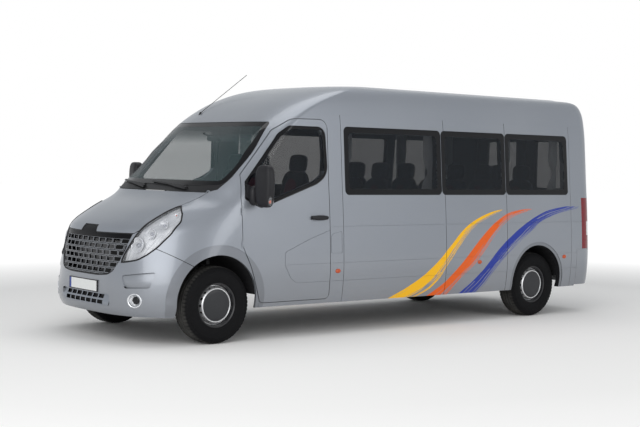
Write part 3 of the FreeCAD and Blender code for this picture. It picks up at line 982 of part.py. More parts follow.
def curtain(y):
    """One gathered curtain with its rail piece on the side wall."""
    cloth = block((CURTAIN_X, y, CURTAIN_FOOT), (CURTAIN_X + CURTAIN_THICK, y + CURTAIN_WIDTH, CURTAIN_TOP))
    rail = block((CURTAIN_X, y, CURTAIN_TOP - RAIL_THICK), (RAIL_REACH, y + CURTAIN_WIDTH, CURTAIN_TOP))
    return cloth.fuse(rail.common(body(WALL + CLEAR)))


curtains = [curtain(share * HALF_LENGTH) for share in CURTAIN_PLACES_SHARES]
add("curtains", *curtains, *[mirrored(c) for c in curtains])

os.makedirs("parts", exist_ok=True)
CUBIC_DECIMETRE = 1e6
for name, shape in parts.items():
    shape.exportStep("parts/" + name + ".step")
    print(name, len(shape.Solids), shape.isValid(), round(shape.Volume / CUBIC_DECIMETRE, 2))
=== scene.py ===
# %% [markdown]
# A long high-roof minibus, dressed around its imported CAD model. The solids give every panel, pane,
# seat and wheel its place, so this lesson adds what a CAD kernel is poor at: paint that changes
# over a surface, glass with printed borders, tyres with tread, lamps with depth, cloth with give.
# Everything is in metres, in the frame of the solids: up is +Z and the vehicle faces -Y.

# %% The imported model
import math

import bmesh
import bpy
from mathutils import Matrix, Vector
from mathutils.bvhtree import BVHTree


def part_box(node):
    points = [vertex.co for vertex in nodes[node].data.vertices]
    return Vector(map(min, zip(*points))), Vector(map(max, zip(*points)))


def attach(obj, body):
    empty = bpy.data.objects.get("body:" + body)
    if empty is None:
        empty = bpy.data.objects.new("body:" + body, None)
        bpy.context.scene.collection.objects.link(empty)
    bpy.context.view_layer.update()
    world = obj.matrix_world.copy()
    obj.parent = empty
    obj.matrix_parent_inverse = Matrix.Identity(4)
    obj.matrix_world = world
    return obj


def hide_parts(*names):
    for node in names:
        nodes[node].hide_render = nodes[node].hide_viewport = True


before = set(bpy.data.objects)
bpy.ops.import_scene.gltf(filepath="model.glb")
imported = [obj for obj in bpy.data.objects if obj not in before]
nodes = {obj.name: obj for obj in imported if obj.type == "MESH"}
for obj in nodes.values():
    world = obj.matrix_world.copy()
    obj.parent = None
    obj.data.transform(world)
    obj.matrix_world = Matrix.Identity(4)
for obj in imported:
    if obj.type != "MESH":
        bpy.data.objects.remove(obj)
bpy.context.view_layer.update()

# %% [markdown]
# Shader maths reads best as a formula. A small class wraps one output socket of a node and answers
# to the usual signs, also with a plain number on the left, so that 1 - mask adds the right Math node.
# Only numbers go this way: a Math node would turn a colour grey.

# %% Arithmetic on sockets


class Wire:
    """One output of a node, with the four rules of arithmetic."""

    def __init__(self, finish, socket):
        self.finish = finish
        self.socket = socket

    def math(self, operation, *others, clamp=False):
        values = {i: value for i, value in enumerate((self,) + others)}
        return self.finish.node("ShaderNodeMath", {"operation": operation, "use_clamp": clamp}, values)

    def __add__(self, other):
        return self.math("ADD", other)

    def __sub__(self, other):
        return self.math("SUBTRACT", other)

    def __mul__(self, other):
        return self.math("MULTIPLY", other)

    def __truediv__(self, other):
        return self.math("DIVIDE", other)

    def __radd__(self, other):
        return self + other

    def __rmul__(self, other):
        return self * other

    def __rsub__(self, other):
        return self.finish.node("ShaderNodeMath", {"operation": "SUBTRACT"}, {0: other, 1: self})

    def __rtruediv__(self, other):
        return self.finish.node("ShaderNodeMath", {"operation": "DIVIDE"}, {0: other, 1: self})

    def over(self, edge, soft=0.0):
        """1 where the value is over an edge, with a soft step if one is wanted."""
        if not soft:
            return self.math("GREATER_THAN", edge)
        return ((self - (edge - soft / 2)) / soft).math("MULTIPLY", 1.0, clamp=True)

    def under(self, edge, soft=0.0):
        return 1.0 - self.over(edge, soft)

    def between(self, low, high, soft=0.0):
        return self.over(low, soft) * self.under(high, soft)

    def size(self):
        return self.math("ABSOLUTE")

    def least(self, other):
        return self.math("MINIMUM", other)

    def most(self, other):
        return self.math("MAXIMUM", other)


class Nodes:
    """A node tree, in which every node comes from one method."""

    def __init__(self, tree):
        self.tree = tree

    def node(self, kind, settings=None, values=None, output=0):
        """A node of one kind: its settings first, then the values or wires of its sockets."""
        made = self.tree.nodes.new(kind)
        for name, value in (settings or {}).items():
            if name == "curve":
                points = made.mapping.curves[0].points
                while len(points) < len(value):
                    points.new(0.5, 0.5)
                for point, place in zip(points, value):
                    point.location = place
                made.mapping.update()
            else:
                setattr(made, name, value)
        for name, value in (values or {}).items():
            self.put(made.inputs[name], value)
        return Wire(self, made.outputs[output])

    def put(self, socket, value):
        if isinstance(value, Wire):
            self.tree.links.new(value.socket, socket)
        else:
            socket.default_value = value

    def mix(self, mask, plain, other):
        """One colour where the mask is 0, another where it is 1."""
        colors = [c if isinstance(c, Wire) else (*c, 1.0) for c in (plain, other)]
        return self.node("ShaderNodeMix", {"data_type": "RGBA"}, {0: mask, 6: colors[0], 7: colors[1]},
                         output=2)

    def place(self):
        """The point's x, y and z on the object, which stay with it when it moves."""
        point = self.node("ShaderNodeTexCoord", output=3)
        return [self.node("ShaderNodeSeparateXYZ", {}, {0: point}, output=i) for i in range(3)]

    def noise(self, scale, detail=2.0, vector=None):
        point = vector or self.node("ShaderNodeTexCoord", output=3)
        return self.node("ShaderNodeTexNoise", {}, {"Vector": point, "Scale": scale, "Detail": detail})

    def vector(self, x, y, z):
        return self.node("ShaderNodeCombineXYZ", {}, {0: x, 1: y, 2: z})

    def rays(self):
        """1 for rays of the camera, for glossy rays, and for rays that pass through glass."""
        return [self.node("ShaderNodeLightPath", output=i) for i in (0, 3, 6)]


class Finish(Nodes):
    """One material: a Principled shader with constants on its own sockets, and nodes that vary it."""

    def __init__(self, name, color=(0.5, 0.5, 0.5), **constants):
        self.material = bpy.data.materials.new(name)
        self.material.use_nodes = True
        super().__init__(self.material.node_tree)
        self.shader = self.tree.nodes["Principled BSDF"]
        self.shader.inputs["Base Color"].default_value = (*color, 1.0)
        self.material.diffuse_color = (*color, 1.0)
        self.vary(**constants)

    def vary(self, **values):
        """Sets or links the shader's sockets, such as base_color or roughness."""
        for words, value in values.items():
            self.put(self.shader.inputs[words.replace("_", " ").title().replace("Ior", "IOR")], value)
        return self

    def bump(self, height, depth, strength=1.0):
        """Feeds Normal with a height of up to depth metres."""
        return self.vary(normal=self.node("ShaderNodeBump", {}, {
            "Strength": strength, "Distance": depth, "Height": height}))


print("shader helpers ready")

# %% [markdown]
# A panel solid is as thick as the whole door or wall: its outer face is paint, its inner face is
# the lining, and its cut edges are rubber and shadow. One dot product tells them apart: the normal
# against the direction away from a spine that runs along the middle of the vehicle. The spine is
# read from the object's own coordinates, so a door keeps its lining when it swings.

# %% Which way a face looks
SPINE_Z, SPINE_FRONT, SPINE_BACK = 0.9, -1.2, 2.4


def outward(finish):
    """1 on faces that look away from the vehicle's spine, 0 on cut edges, -1 on inner faces."""
    x, y, z = finish.place()
    along = y - y.most(SPINE_FRONT).least(SPINE_BACK)
    away = finish.vector(x, along, z - SPINE_Z)
    unit = finish.node("ShaderNodeVectorMath", {"operation": "NORMALIZE"}, {0: away})
    normal = finish.node("ShaderNodeTexCoord", output=1)
    return finish.node("ShaderNodeVectorMath", {"operation": "DOT_PRODUCT"}, {0: normal, 1: unit},
                       output=1)


# %% [markdown]
# Three brush strokes in yellow, orange and blue sweep up the side. A stroke is the room between two
# curves that give y for each height, drawn in metres. Thin slits follow the stroke where the
# bristles parted, and a noise stretched along the stroke tears its back edge and both its ends.

# %% The three strokes
STROKE_LOW, STROKE_HIGH, STROKE_FOOT = 0.30, 1.26, 0.005
STROKE_START, STROKE_SPAN, STROKE_SEED = -0.30, 3.20, 2.7
WAVE_SCALE, WAVE, BRISTLES_ACROSS, BRISTLES_ALONG = 9.0, 0.10, 26.0, 2.2
WORN_BACK, WORN_MIDDLE, WORN_REACH, WORN_FROM = 0.62, 0.74, 0.44, 0.70
YELLOW, ORANGE, BLUE = (0.93, 0.49, 0.004), (0.76, 0.110, 0.004), (0.012, 0.034, 0.300)
# The heights at which every stroke has a front and a back edge in y.
STROKE_HEIGHTS = [0.3, 0.36, 0.44, 0.53, 0.62, 0.71, 0.8, 0.89, 0.98, 1.06, 1.12, 1.16]
# Each stroke: its colour, its edges at those heights, its own rows (height, front, back) above them,
# and its slits (share across and height, twice, then from and to which height, and width).
STROKES = {
    "yellow": (YELLOW,
        [(-0.212, 0.161), (-0.068, 0.332), (0.114, 0.466), (0.29, 0.56), (0.426, 0.628),
         (0.546, 0.712), (0.649, 0.796), (0.752, 0.886), (0.858, 0.992), (0.985, 1.112), (1.12, 1.262),
         (1.239, 1.378)],
        [(1.19, 1.36, 1.468), (1.206, 1.468, 1.5)],
        [(0.62, 0.31, 0.74, 0.52, 0.31, 0.53, 0.035), (0.66, 0.62, 0.48, 1.04, 0.66, 1.05, 0.05),
         (0.8, 0.5, 0.86, 0.72, 0.56, 0.74, 0.06), (0.55, 1.06, 0.62, 1.19, 1.07, 1.185, 0.055)]),
    "orange": (ORANGE,
        [(0.337, 0.647), (0.456, 0.712), (0.6, 0.81), (0.722, 0.925), (0.829, 1.039), (0.933, 1.143),
         (1.031, 1.235), (1.135, 1.322), (1.247, 1.424), (1.365, 1.537), (1.478, 1.65), (1.569, 1.786)],
        [(1.19, 1.69, 1.93), (1.212, 1.92, 1.995)],
        [(0.84, 0.46, 0.8, 0.82, 0.5, 0.8, 0.055), (0.6, 1.02, 0.5, 1.16, 1.04, 1.15, 0.07),
         (0.3, 1.08, 0.36, 1.17, 1.1, 1.165, 0.045), (0.7, 0.31, 0.76, 0.46, 0.31, 0.43, 0.03)]),
    "blue": (BLUE,
        [(0.827, 1.123), (0.915, 1.19), (1.03, 1.264), (1.15, 1.346), (1.256, 1.442), (1.355, 1.56),
         (1.463, 1.688), (1.594, 1.838), (1.741, 1.99), (1.898, 2.12), (2.031, 2.29), (2.137, 2.45)],
        [(1.19, 2.244, 2.65), (1.215, 2.39, 2.8), (1.236, 2.56, 2.815)],
        [(0.22, 0.31, 0.16, 0.43, 0.31, 0.44, 0.05), (0.42, 0.31, 0.46, 0.56, 0.31, 0.57, 0.045),
         (0.72, 0.31, 0.74, 0.66, 0.31, 0.66, 0.05), (0.78, 0.7, 0.52, 1.03, 0.76, 1.02, 0.05),
         (0.34, 1.1, 0.44, 1.24, 1.1, 1.245, 0.085), (0.66, 1.12, 0.6, 1.2, 1.13, 1.2, 0.03)]),
}


def stroke_mask(finish, y, z, edges, top_rows, slits, seed):
    """1 inside one brush stroke of the side view."""
    rows = [(level, *pair) for level, pair in zip(STROKE_HEIGHTS, edges)] + top_rows
    height = (z - STROKE_LOW) / (STROKE_HIGH - STROKE_LOW)
    sides = []
    for column in (1, 2):
        curve = [((row[0] - STROKE_LOW) / (STROKE_HIGH - STROKE_LOW),
                  (row[column] - STROKE_START) / STROKE_SPAN) for row in rows]
        share = finish.node("ShaderNodeFloatCurve", {"curve": curve}, {"Value": height})
        sides.append(share * STROKE_SPAN + STROKE_START)
    across = (y - sides[0]) / (sides[1] - sides[0])
    wave = finish.noise(1.0, 2.0, finish.vector(seed, z * WAVE_SCALE, seed)) - 0.5
    across = across + wave * WAVE
    worn = None
    for share_low, z_low, share_high, z_high, start, end, width in slits:
        slope = (share_high - share_low) / (z_high - z_low)
        middle = z * slope + (share_low - slope * z_low)
        slit = (across - middle).size().under(width / 2) * z.between(start, end)
        worn = slit if worn is None else worn.most(slit)
    bristles = finish.noise(1.0, 2.0, finish.vector(across * BRISTLES_ACROSS + seed,
                                                    z * BRISTLES_ALONG + y * 0.5, seed))
    tear = across.over(WORN_BACK, 0.5) * 0.20 + bristles
    tear = tear + (z - WORN_MIDDLE).size().over(WORN_REACH, 0.14) * 0.10
    worn = worn.most(tear.over(WORN_FROM))
    return across.between(0.0, 1.0) * (1.0 - worn) * z.between(STROKE_LOW + STROKE_FOOT, rows[-1][0])


# %% [markdown]
# Silver paint is a grey base under metal flakes and a clear coat. The flakes are a fine noise in the
# colour and the orange peel a finer bump. On the real van a pressed band runs round each arch and
# leans away from the light; a ring of painted shade at the arch's radius shows it without more geometry.

# %% Body paint
PAINT, PAINT_SHADE = (0.278, 0.298, 0.332), (0.234, 0.252, 0.284)
# Each arch band: the arch's centre in y and z, its radius, and how far the band reaches beyond.
ARCHES = [(-2.272, 0.400, 0.420, 0.092), (2.075, 0.405, 0.398, 0.036)]
# The bumper's upper joint on the side: its bend, the slopes before and after it, half its width.
SEAM_Y, SEAM_Z, SEAM_SLOPES, SEAM_HALF = -2.807, 0.873, (-0.349, -0.556), 0.0035
SEAM_RANGE, SIDE_FROM, EDGE_LOOK, LINING_LOOK = (-2.93, -2.50), 0.80, 0.20, -0.12
LINING, EDGE_BLACK, HANDLE_BLACK = (0.23, 0.235, 0.24), (0.010, 0.010, 0.012), (0.018, 0.018, 0.020)
HAZE, LOW_DARKER_TONE, ARCH_BAND_PAINTED_SHADE = (0.42, 0.43, 0.45), (0.24, 0.235, 0.23), (0.130, 0.136, 0.150)


def paint_finish(name, strokes=False, handle=None):
    """Silver paint outside, grey lining inside, rubber on the edges, and a dark handle if given."""
    finish = Finish(name, PAINT, metallic=0.55, roughness=0.34, coat_weight=0.5, coat_roughness=0.05,
                    specular_ior_level=0.3)
    x, y, z = finish.place()
    facing = outward(finish)
    flakes = finish.noise(900.0, 1.0)
    color = finish.mix(flakes, PAINT, PAINT_SHADE)
    haze = finish.noise(0.7, 2.0)
    color = finish.mix((haze - 0.35) * 0.35, color, HAZE)
    # Darker in patches towards the bottom.
    patchy_tone = z.under(0.62, 0.5) * finish.noise(3.0, 4.0) * 0.35
    color = finish.mix(patchy_tone, color, LOW_DARKER_TONE)
    # Each arch band is painted shade: a darker ring where the pressed band leans away from the light.
    for arch_y, arch_z, arch_radius, band in ARCHES:
        away = ((y - arch_y) * (y - arch_y) + (z - arch_z) * (z - arch_z)).math("SQRT")
        arch_band_shade = away.between(arch_radius - 0.02, arch_radius + band, 0.008) * x.size().over(SIDE_FROM)
        color = finish.mix(arch_band_shade * 0.5, color, ARCH_BAND_PAINTED_SHADE)
    joint = ((y - SEAM_Y) * SEAM_SLOPES[0]).least((y - SEAM_Y) * SEAM_SLOPES[1]) + SEAM_Z
    seam = (z - joint).size().under(SEAM_HALF) * y.between(*SEAM_RANGE)
    color = finish.mix(seam * x.size().over(SIDE_FROM), color, EDGE_BLACK)
    metal = facing.over(EDGE_LOOK, 0.1) * 0.55
    rough = 0.32 + flakes * 0.07
    coat, foil = facing.over(EDGE_LOOK) * 0.5, None
    if strokes:
        for index, (tone, *shape) in enumerate(STROKES.values()):
            mask = stroke_mask(finish, y, z, *shape, STROKE_SEED * (index + 1)) * facing.over(0.4)
            color = finish.mix(mask, color, tone)
            foil = mask if foil is None else foil.most(mask)
        metal = metal * (1.0 - foil)
        coat = coat * (1.0 - foil * 0.9)
    if handle:
        y_range, z_range, right_only = handle
        grip = y.between(*y_range) * z.between(*z_range)
        grip = grip * (x.under(-0.9) if right_only else x.size().over(0.9))
        color = finish.mix(grip, color, HANDLE_BLACK)
        metal = metal * (1.0 - grip)
        rough = rough + grip * 0.15
    lined = facing.under(LINING_LOOK)
    color = finish.mix(facing.under(EDGE_LOOK), color, EDGE_BLACK)
    color = finish.mix(lined, color, LINING)
    rough = rough + lined * 0.4 + facing.between(LINING_LOOK, EDGE_LOOK) * 0.3
    finish.vary(base_color=color, metallic=metal, roughness=rough, coat_weight=coat)
    return finish.bump(finish.noise(260.0, 2.0), 0.00025, 0.25).material


def wear(material, *names):
    """Puts a material in every slot of some CAD nodes."""
    for name in names:
        mesh = nodes[name].data
        mesh.materials.clear()
        mesh.materials.append(material)


# Each handle: its range in y and in z, and whether it is on the right side only.
DOOR_HANDLE = ((-1.2055, -1.0095), (1.1295, 1.1665), False)
SLIDE_HANDLE = ((-0.7455, -0.5595), (1.1195, 1.1565), True)
wear(paint_finish("silver_paint"), "roof", "front_bumper", "front_wings", "rear_bumper", "bonnet",
     "rear_door_left", "rear_door_right")
wear(paint_finish("silver_paint_with_strokes", True, SLIDE_HANDLE), "side_left", "side_right",
     "sliding_door")
wear(paint_finish("silver_paint_cab_door", False, DOOR_HANDLE), "cab_door_left", "cab_door_right")
print("painted", sum("paint" in nodes[name].data.materials[0].name for name in nodes), "panels")

# %% [markdown]
# Every bonded pane has a black border printed on it, which hides the metal behind. The border is a
# distance: for each edge of the see-through outline a plane gives how far inside a point lies, the
# least of them is the distance to the border, and a smooth minimum rounds the corners.

# %% Glass with a printed border
GLASS_DARK, GLASS_CLEAR = (0.006, 0.009, 0.013), (0.075, 0.115, 0.122)
PRINT_BLACK = (0.003, 0.003, 0.004)
SCREEN_HALF = [(0.0, 2.062), (0.787, 2.062), (0.846, 1.860), (0.872, 1.710), (0.876, 1.560),
               (0.860, 1.446), (0.0, 1.446)]
CAB_PANE = [(-1.005, 2.028), (-0.985, 1.560), (-1.120, 1.475), (-1.800, 1.246), (-1.984, 1.330),
            (-1.964, 1.490), (-1.560, 1.950), (-1.440, 2.028)]
REAR_PANE = [(0.095, 1.372), (0.095, 2.045), (0.700, 2.045), (0.722, 1.372)]
PANE_SPLITS, PANE_LOW, PANE_HIGH, PANE_GAP = [-0.765, 0.576, 1.566, 2.615], 1.368, 2.040, 0.003
SCREEN_BAND = 1.90               # above this height the windscreen is darker


def depth_inside(u, v, corners, rounding):
    """How far a (u, v) point lies inside a convex outline, negative outside it."""
    middle = Vector((sum(c[0] for c in corners), sum(c[1] for c in corners))) / len(corners)
    least = None
    for i, corner in enumerate(corners):
        start, end = Vector(corners[i - 1]), Vector(corner)
        run = (end - start).normalized()
        normal = Vector((-run.y, run.x))
        if normal.dot(middle - start) < 0:
            normal = -normal
        if max(abs(start.x), abs(end.x)) < 1e-6:
            continue                     # the middle of the vehicle is no edge
        distance = u * normal.x + v * normal.y - normal.dot(start)
        least = distance if least is None else least.math("SMOOTH_MIN", distance, rounding)
    return least


def glass_finish(name, tint, clearness, outlines, border, rounding, from_front=False, top_band=0.0):
    """Tinted glass, see-through inside the outlines, printed black on the border."""
    finish = Finish(name, tint, roughness=0.04, specular_ior_level=0.28, coat_weight=0.0)
    x, y, z = finish.place()
    across = x.size() if from_front else y
    clear = None
    for corners in outlines:
        inside = depth_inside(across, z, corners, rounding).over(border, 0.004)
        clear = inside if clear is None else clear.most(inside)
    if top_band:
        clear = clear * (0.35 + 0.65 * z.under(top_band, 0.10))
    film = finish.noise(1.8, 3.0)
    finish.vary(base_color=finish.mix(clear, PRINT_BLACK, tint),
                alpha=1.0 - clear * clearness, roughness=0.03 + film * 0.03)
    return finish.material


PANES = [[(a + PANE_GAP, PANE_LOW), (a + PANE_GAP, PANE_HIGH), (b - PANE_GAP, PANE_HIGH),
          (b - PANE_GAP, PANE_LOW)] for a, b in zip(PANE_SPLITS, PANE_SPLITS[1:])]
wear(glass_finish("windscreen_glass", GLASS_CLEAR, 0.76, [SCREEN_HALF], 0.045, 0.05, True, SCREEN_BAND),
     "windscreen")
wear(glass_finish("saloon_glass", GLASS_DARK, 0.48, PANES, 0.058, 0.09), "saloon_windows")
wear(glass_finish("cab_glass", GLASS_DARK, 0.62, [CAB_PANE], 0.032, 0.03), "cab_glass_left",
     "cab_glass_right")
wear(glass_finish("rear_glass", GLASS_DARK, 0.48, [REAR_PANE], 0.058, 0.06, True), "rear_glass_left",
     "rear_glass_right")
print("glazed: windscreen,", len(PANES), "panes in each side, cab doors, rear doors")

# %% [markdown]
# Moulded plastic is never one colour: it has a fine grain that catches light, and dust that
# greys its flat places. Steel and rubber get the same care with other numbers, so one function
# makes them all from a base colour, a grain size and a grain depth.

# %% Plastics, metals and rubber


def grained(name, color, roughness, grain_scale, grain_depth, metallic=0.0, spread=0.35):
    finish = Finish(name, color, metallic=metallic, roughness=roughness, specular_ior_level=0.25)
    grain = finish.noise(grain_scale, 3.0)
    patchy_tone = finish.noise(4.0, 4.0)
    paler = tuple(min(1.0, c * (1.0 + spread) + 0.012 * spread) for c in color)
    finish.vary(base_color=finish.mix(patchy_tone, color, paler), roughness=roughness - 0.06 + grain * 0.12)
    return finish.bump(grain, grain_depth, 0.5).material


black_plastic = grained("black_grained_plastic", (0.009, 0.009, 0.010), 0.46, 500.0, 0.0004)
mirror_plastic = grained("mirror_plastic", (0.010, 0.010, 0.012), 0.42, 600.0, 0.0004)
trim_plastic = grained("dashboard_plastic", (0.020, 0.021, 0.023), 0.55, 420.0, 0.0005)
liner_felt = grained("arch_liner_felt", (0.005, 0.005, 0.006), 0.92, 160.0, 0.0015)
chassis_paint = grained("chassis_black", (0.006, 0.006, 0.007), 0.55, 90.0, 0.0008, spread=0.9)
floor_vinyl = grained("floor_vinyl", (0.040, 0.041, 0.043), 0.6, 240.0, 0.0006)
cast_metal = grained("cast_aluminium", (0.18, 0.18, 0.185), 0.5, 140.0, 0.001, metallic=0.8)
wear(black_plastic, "scuttle", "antenna", "steering_wheel")
wear(chassis_paint, "chassis_frame", "front_axle", "rear_axle", "front_carrier", "fuel_tank",
     "knuckle_left", "knuckle_right")
wear(cast_metal, "engine_block", "exhaust")
wear(liner_felt, "arch_liners")
wear(trim_plastic, "dashboard", "cab_seats", "saloon_seats")
wear(floor_vinyl, "floor_pan")
print("plain materials", len(bpy.data.materials))

# %% [markdown]
# Every piece that this lesson adds is a mesh that rides on one body, with one material. Most are
# grids bent by a formula of two numbers from 0 to 1: that gives tyres, domes, shells and curtains
# alike, with clean quads, and the number of steps says how fine each one is.

# %% Pieces and grids


def linked(name, data):
    """An object of the scene with this mesh, light or camera."""
    made = bpy.data.objects.new(name, data)
    bpy.context.scene.collection.objects.link(made)
    return made


def shell_mesh(name, vertices, faces, weld=0.0):
    """A mesh with its faces turned outwards, and with its corners welded if a distance is given."""
    mesh = bpy.data.meshes.new(name)
    mesh.from_pydata([tuple(v) for v in vertices], [], faces)
    sheet = bmesh.new()
    sheet.from_mesh(mesh)
    if weld:
        bmesh.ops.remove_doubles(sheet, verts=sheet.verts, dist=weld)
    bmesh.ops.recalc_face_normals(sheet, faces=sheet.faces)
    sheet.to_mesh(mesh)
    sheet.free()
    return mesh


def riding(name, mesh, material, body, slot):
    """An object with one material that rides on a body."""
    mesh.materials.append(material)
    made = linked(name, mesh)
    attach(made, body)
    return made


def piece(name, vertices, faces, material, body="body", slot="black_plastic", smooth=True):
    mesh = shell_mesh(name, vertices, faces)
    if smooth:
        mesh.shade_smooth()
    return riding(name, mesh, material, body, slot)


def grid(columns, rows, at, closed_u=False, closed_v=False):
    """Vertices and faces of a grid bent by at(u, v), with u and v from 0 to 1."""
    across = columns if closed_u else columns + 1
    along = rows if closed_v else rows + 1
    vertices = [at(i / columns, j / rows) for j in range(along) for i in range(across)]
    faces = []
    for j in range(rows):
        for i in range(columns):
            left, right = i, (i + 1) % across
            low, high = j * across, ((j + 1) % along) * across
            faces.append((low + left, low + right, high + right, high + left))
    return vertices, faces


print("a grid of 3 by 2 has", len(grid(3, 2, lambda u, v: (u, v, 0))[0]), "corners")

# %% [markdown]
# A tyre is one closed profile, spun round its axle: bead, sidewall, shoulder, tread. Four grooves run
# round the tread, and every fourth step of the spin cuts a slot across the shoulders, which leaves
# the blocks that show as a row of teeth from the front.

# %% Tyres
WHEEL_HEIGHT = 0.356
FRONT_AXLE_Y, REAR_AXLE_Y = -2.257, 2.075
WHEELS = {"front_left": (0.875, FRONT_AXLE_Y), "front_right": (-0.875, FRONT_AXLE_Y),
          "rear_left": (0.865, REAR_AXLE_Y), "rear_right": (-0.865, REAR_AXLE_Y)}
SIDEWALL = [(0.095, 0.205), (0.103, 0.213), (0.110, 0.230), (0.1125, 0.252), (0.113, 0.275),
            (0.1115, 0.298), (0.108, 0.315), (0.1075, 0.3165), (0.106, 0.3165), (0.103, 0.330),
            (0.096, 0.3435)]
TREAD = [(0.084, 0.3505), (0.078, 0.3525), (0.062, 0.3550)]
GROOVES = [0.056, 0.019]
GROOVE_HALF, GROOVE_FLOOR = 0.0045, 0.3445
TREAD_RADIUS, TREAD_STEPS = 0.356, 240
RIB_EDGE, RIB_RADIUS, SHOULDER_RADIUS, SLOT_DEPTH, CUT_DEPTH = 0.060, 0.350, 0.340, 0.0075, 0.0035


def tyre_profile():
    """(across, radius) points of half a tyre from bead to middle, then mirrored."""
    half = list(SIDEWALL) + list(TREAD)
    for groove in GROOVES:
        half += [(groove + GROOVE_HALF, TREAD_RADIUS), (groove + GROOVE_HALF - 0.0015, GROOVE_FLOOR),
                 (groove - GROOVE_HALF + 0.0015, GROOVE_FLOOR), (groove - GROOVE_HALF, TREAD_RADIUS)]
    return half + [(-a, r) for a, r in reversed(half)]


def tread_block(across, radius, step):
    """Slots across the shoulders and fine cuts across the middle ribs."""
    if abs(across) > RIB_EDGE and radius > SHOULDER_RADIUS and step % 4 == 0:
        return radius - SLOT_DEPTH
    if abs(across) < RIB_EDGE and radius > RIB_RADIUS and (step + int(across * 90)) % 4 == 0:
        return radius - CUT_DEPTH
    return radius


def spun_tyre(name, centre, side, body):
    """The tyre's closed profile spun round a wheel's axle."""
    profile = tyre_profile()

    def at(u, v):
        index = round(v * len(profile)) % len(profile)
        across, radius = profile[index]
        radius = tread_block(across, radius, round(u * TREAD_STEPS))
        turn = 2 * math.pi * u
        return centre + Vector((side * across, radius * math.cos(turn), radius * math.sin(turn)))

    shape = grid(TREAD_STEPS, len(profile), at, True, True)
    return piece(name, *shape, rubber.material, body, "tyre_rubber")


def from_axle(finish):
    """A point's distance from the axle of its own wheel, in the side view."""
    _, y, z = finish.place()
    along, rise = y - (y.under(0.0) * FRONT_AXLE_Y + y.over(0.0) * REAR_AXLE_Y), z - WHEEL_HEIGHT
    return (along * along + rise * rise).math("SQRT")


RUBBER, ROAD_DUST = (0.0055, 0.0055, 0.0062), (0.110, 0.107, 0.100)
rubber = Finish("tyre_rubber", RUBBER, roughness=0.72, specular_ior_level=0.12)
reach = from_axle(rubber)
road_dust = rubber.noise(9.0, 5.0) * reach.over(0.349, 0.01)
rings = (reach * 900.0).math("SINE") * reach.between(0.222, 0.226)
rings = rings + (reach * 700.0).math("SINE") * reach.between(0.304, 0.312) * 0.6
ribs = reach.between(0.296, 0.300) + reach.between(0.236, 0.238)
rubber.vary(base_color=rubber.mix(road_dust * 0.8, RUBBER, ROAD_DUST),
            roughness=0.66 + rubber.noise(30.0, 3.0) * 0.16)
rubber.bump(ribs * 0.8 + rings * 0.25 + rubber.noise(420.0, 2.0) * 0.2, 0.0016, 0.8)
for place, (x_centre, y_centre) in WHEELS.items():
    tyre = spun_tyre("tyre_with_tread_" + place, Vector((x_centre, y_centre, WHEEL_HEIGHT)),
                     math.copysign(1.0, x_centre), "wheel_" + place)
    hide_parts("tyre_" + place)
print("tyres", len(WHEELS), "profile points", len(tyre_profile()))

# %% [markdown]
# The wheel discs stay as the solids are: a drum with holes round its flank. Only their finish
# changes with the radius: satin silver steel, a ring painted brighter as a painted highlight on the
# flank, which lies in shade, and a charcoal plastic cap inside it.

# %% Wheel discs
CAP_EDGE, CAP_X, RING, BARREL = 0.1462, 0.94, (0.150, 0.181), 0.1835
STEEL, BRAKE_DUST, RING_PAINTED_HIGHLIGHT = (0.56, 0.57, 0.585), (0.30, 0.295, 0.285), (0.90, 0.90, 0.91)
BARREL_BLACK, CAP_CHARCOAL = (0.020, 0.020, 0.022), (0.012, 0.013, 0.016)
disc = Finish("silver_wheel_with_cap", (0.5, 0.5, 0.5), metallic=0.8, roughness=0.35)
reach = from_axle(disc)
cap = reach.under(CAP_EDGE) * disc.place()[0].size().over(CAP_X)
barrel = reach.over(BARREL)
brake_dust = disc.noise(14.0, 4.0) * 0.5
tone = disc.mix(brake_dust, STEEL, BRAKE_DUST)
# The ring is a painted highlight: paler than the steel, on a flank that lies in shade.
tone = disc.mix(reach.between(*RING) * 0.8, tone, RING_PAINTED_HIGHLIGHT)
tone = disc.mix(barrel, tone, BARREL_BLACK)
tone = disc.mix(cap, tone, CAP_CHARCOAL)
disc.vary(base_color=tone, metallic=(1.0 - cap) * (1.0 - barrel) * 0.8,
          roughness=0.30 + disc.noise(60.0, 3.0) * 0.12 + cap * 0.05)
disc.bump(disc.noise(300.0, 2.0), 0.0003, 0.4)
wear(disc.material, *("rim_" + place for place in WHEELS))
print("wheel discs", len(WHEELS), "with caps of", 2 * CAP_EDGE, "m")

# %% [markdown]
# The plates at the front and back are blank, with a dark border and a blue band at one end. A
# plate is a flat sheet, so the marks are drawn on it by distance and need no picture.

# %% Plates
PLATE_HALF, PLATE_BORDER, FRONT_PLATE_Z, REAR_PLATE_Z = 0.260, 0.008, 0.510, 0.695
REAR_PLATE_X, PLATE_HIGH_HALF, BAND_WIDTH = 0.390, 0.055, 0.040
PLATE_WHITE, PLATE_GREY, BAND_BLUE = (0.74, 0.75, 0.74), (0.60, 0.61, 0.60), (0.012, 0.040, 0.260)
plate = Finish("blank_plate", PLATE_WHITE, roughness=0.35)
x, y, z = plate.place()
scuffs = plate.noise(40.0, 4.0)
ahead = y.under(0.0)
sideways = x * ahead + (REAR_PLATE_X - x) * (1.0 - ahead)
height = (z - FRONT_PLATE_Z) * ahead + (z - REAR_PLATE_Z) * (1.0 - ahead)
border = sideways.size().over(PLATE_HALF - PLATE_BORDER).most(
    height.size().over(PLATE_HIGH_HALF - PLATE_BORDER))
band = sideways.under(BAND_WIDTH - PLATE_HALF)
tone = plate.mix(band, plate.mix(scuffs * 0.4, PLATE_WHITE, PLATE_GREY), BAND_BLUE)
plate.vary(base_color=plate.mix(border, tone, EDGE_BLACK), roughness=0.3 + scuffs * 0.15)
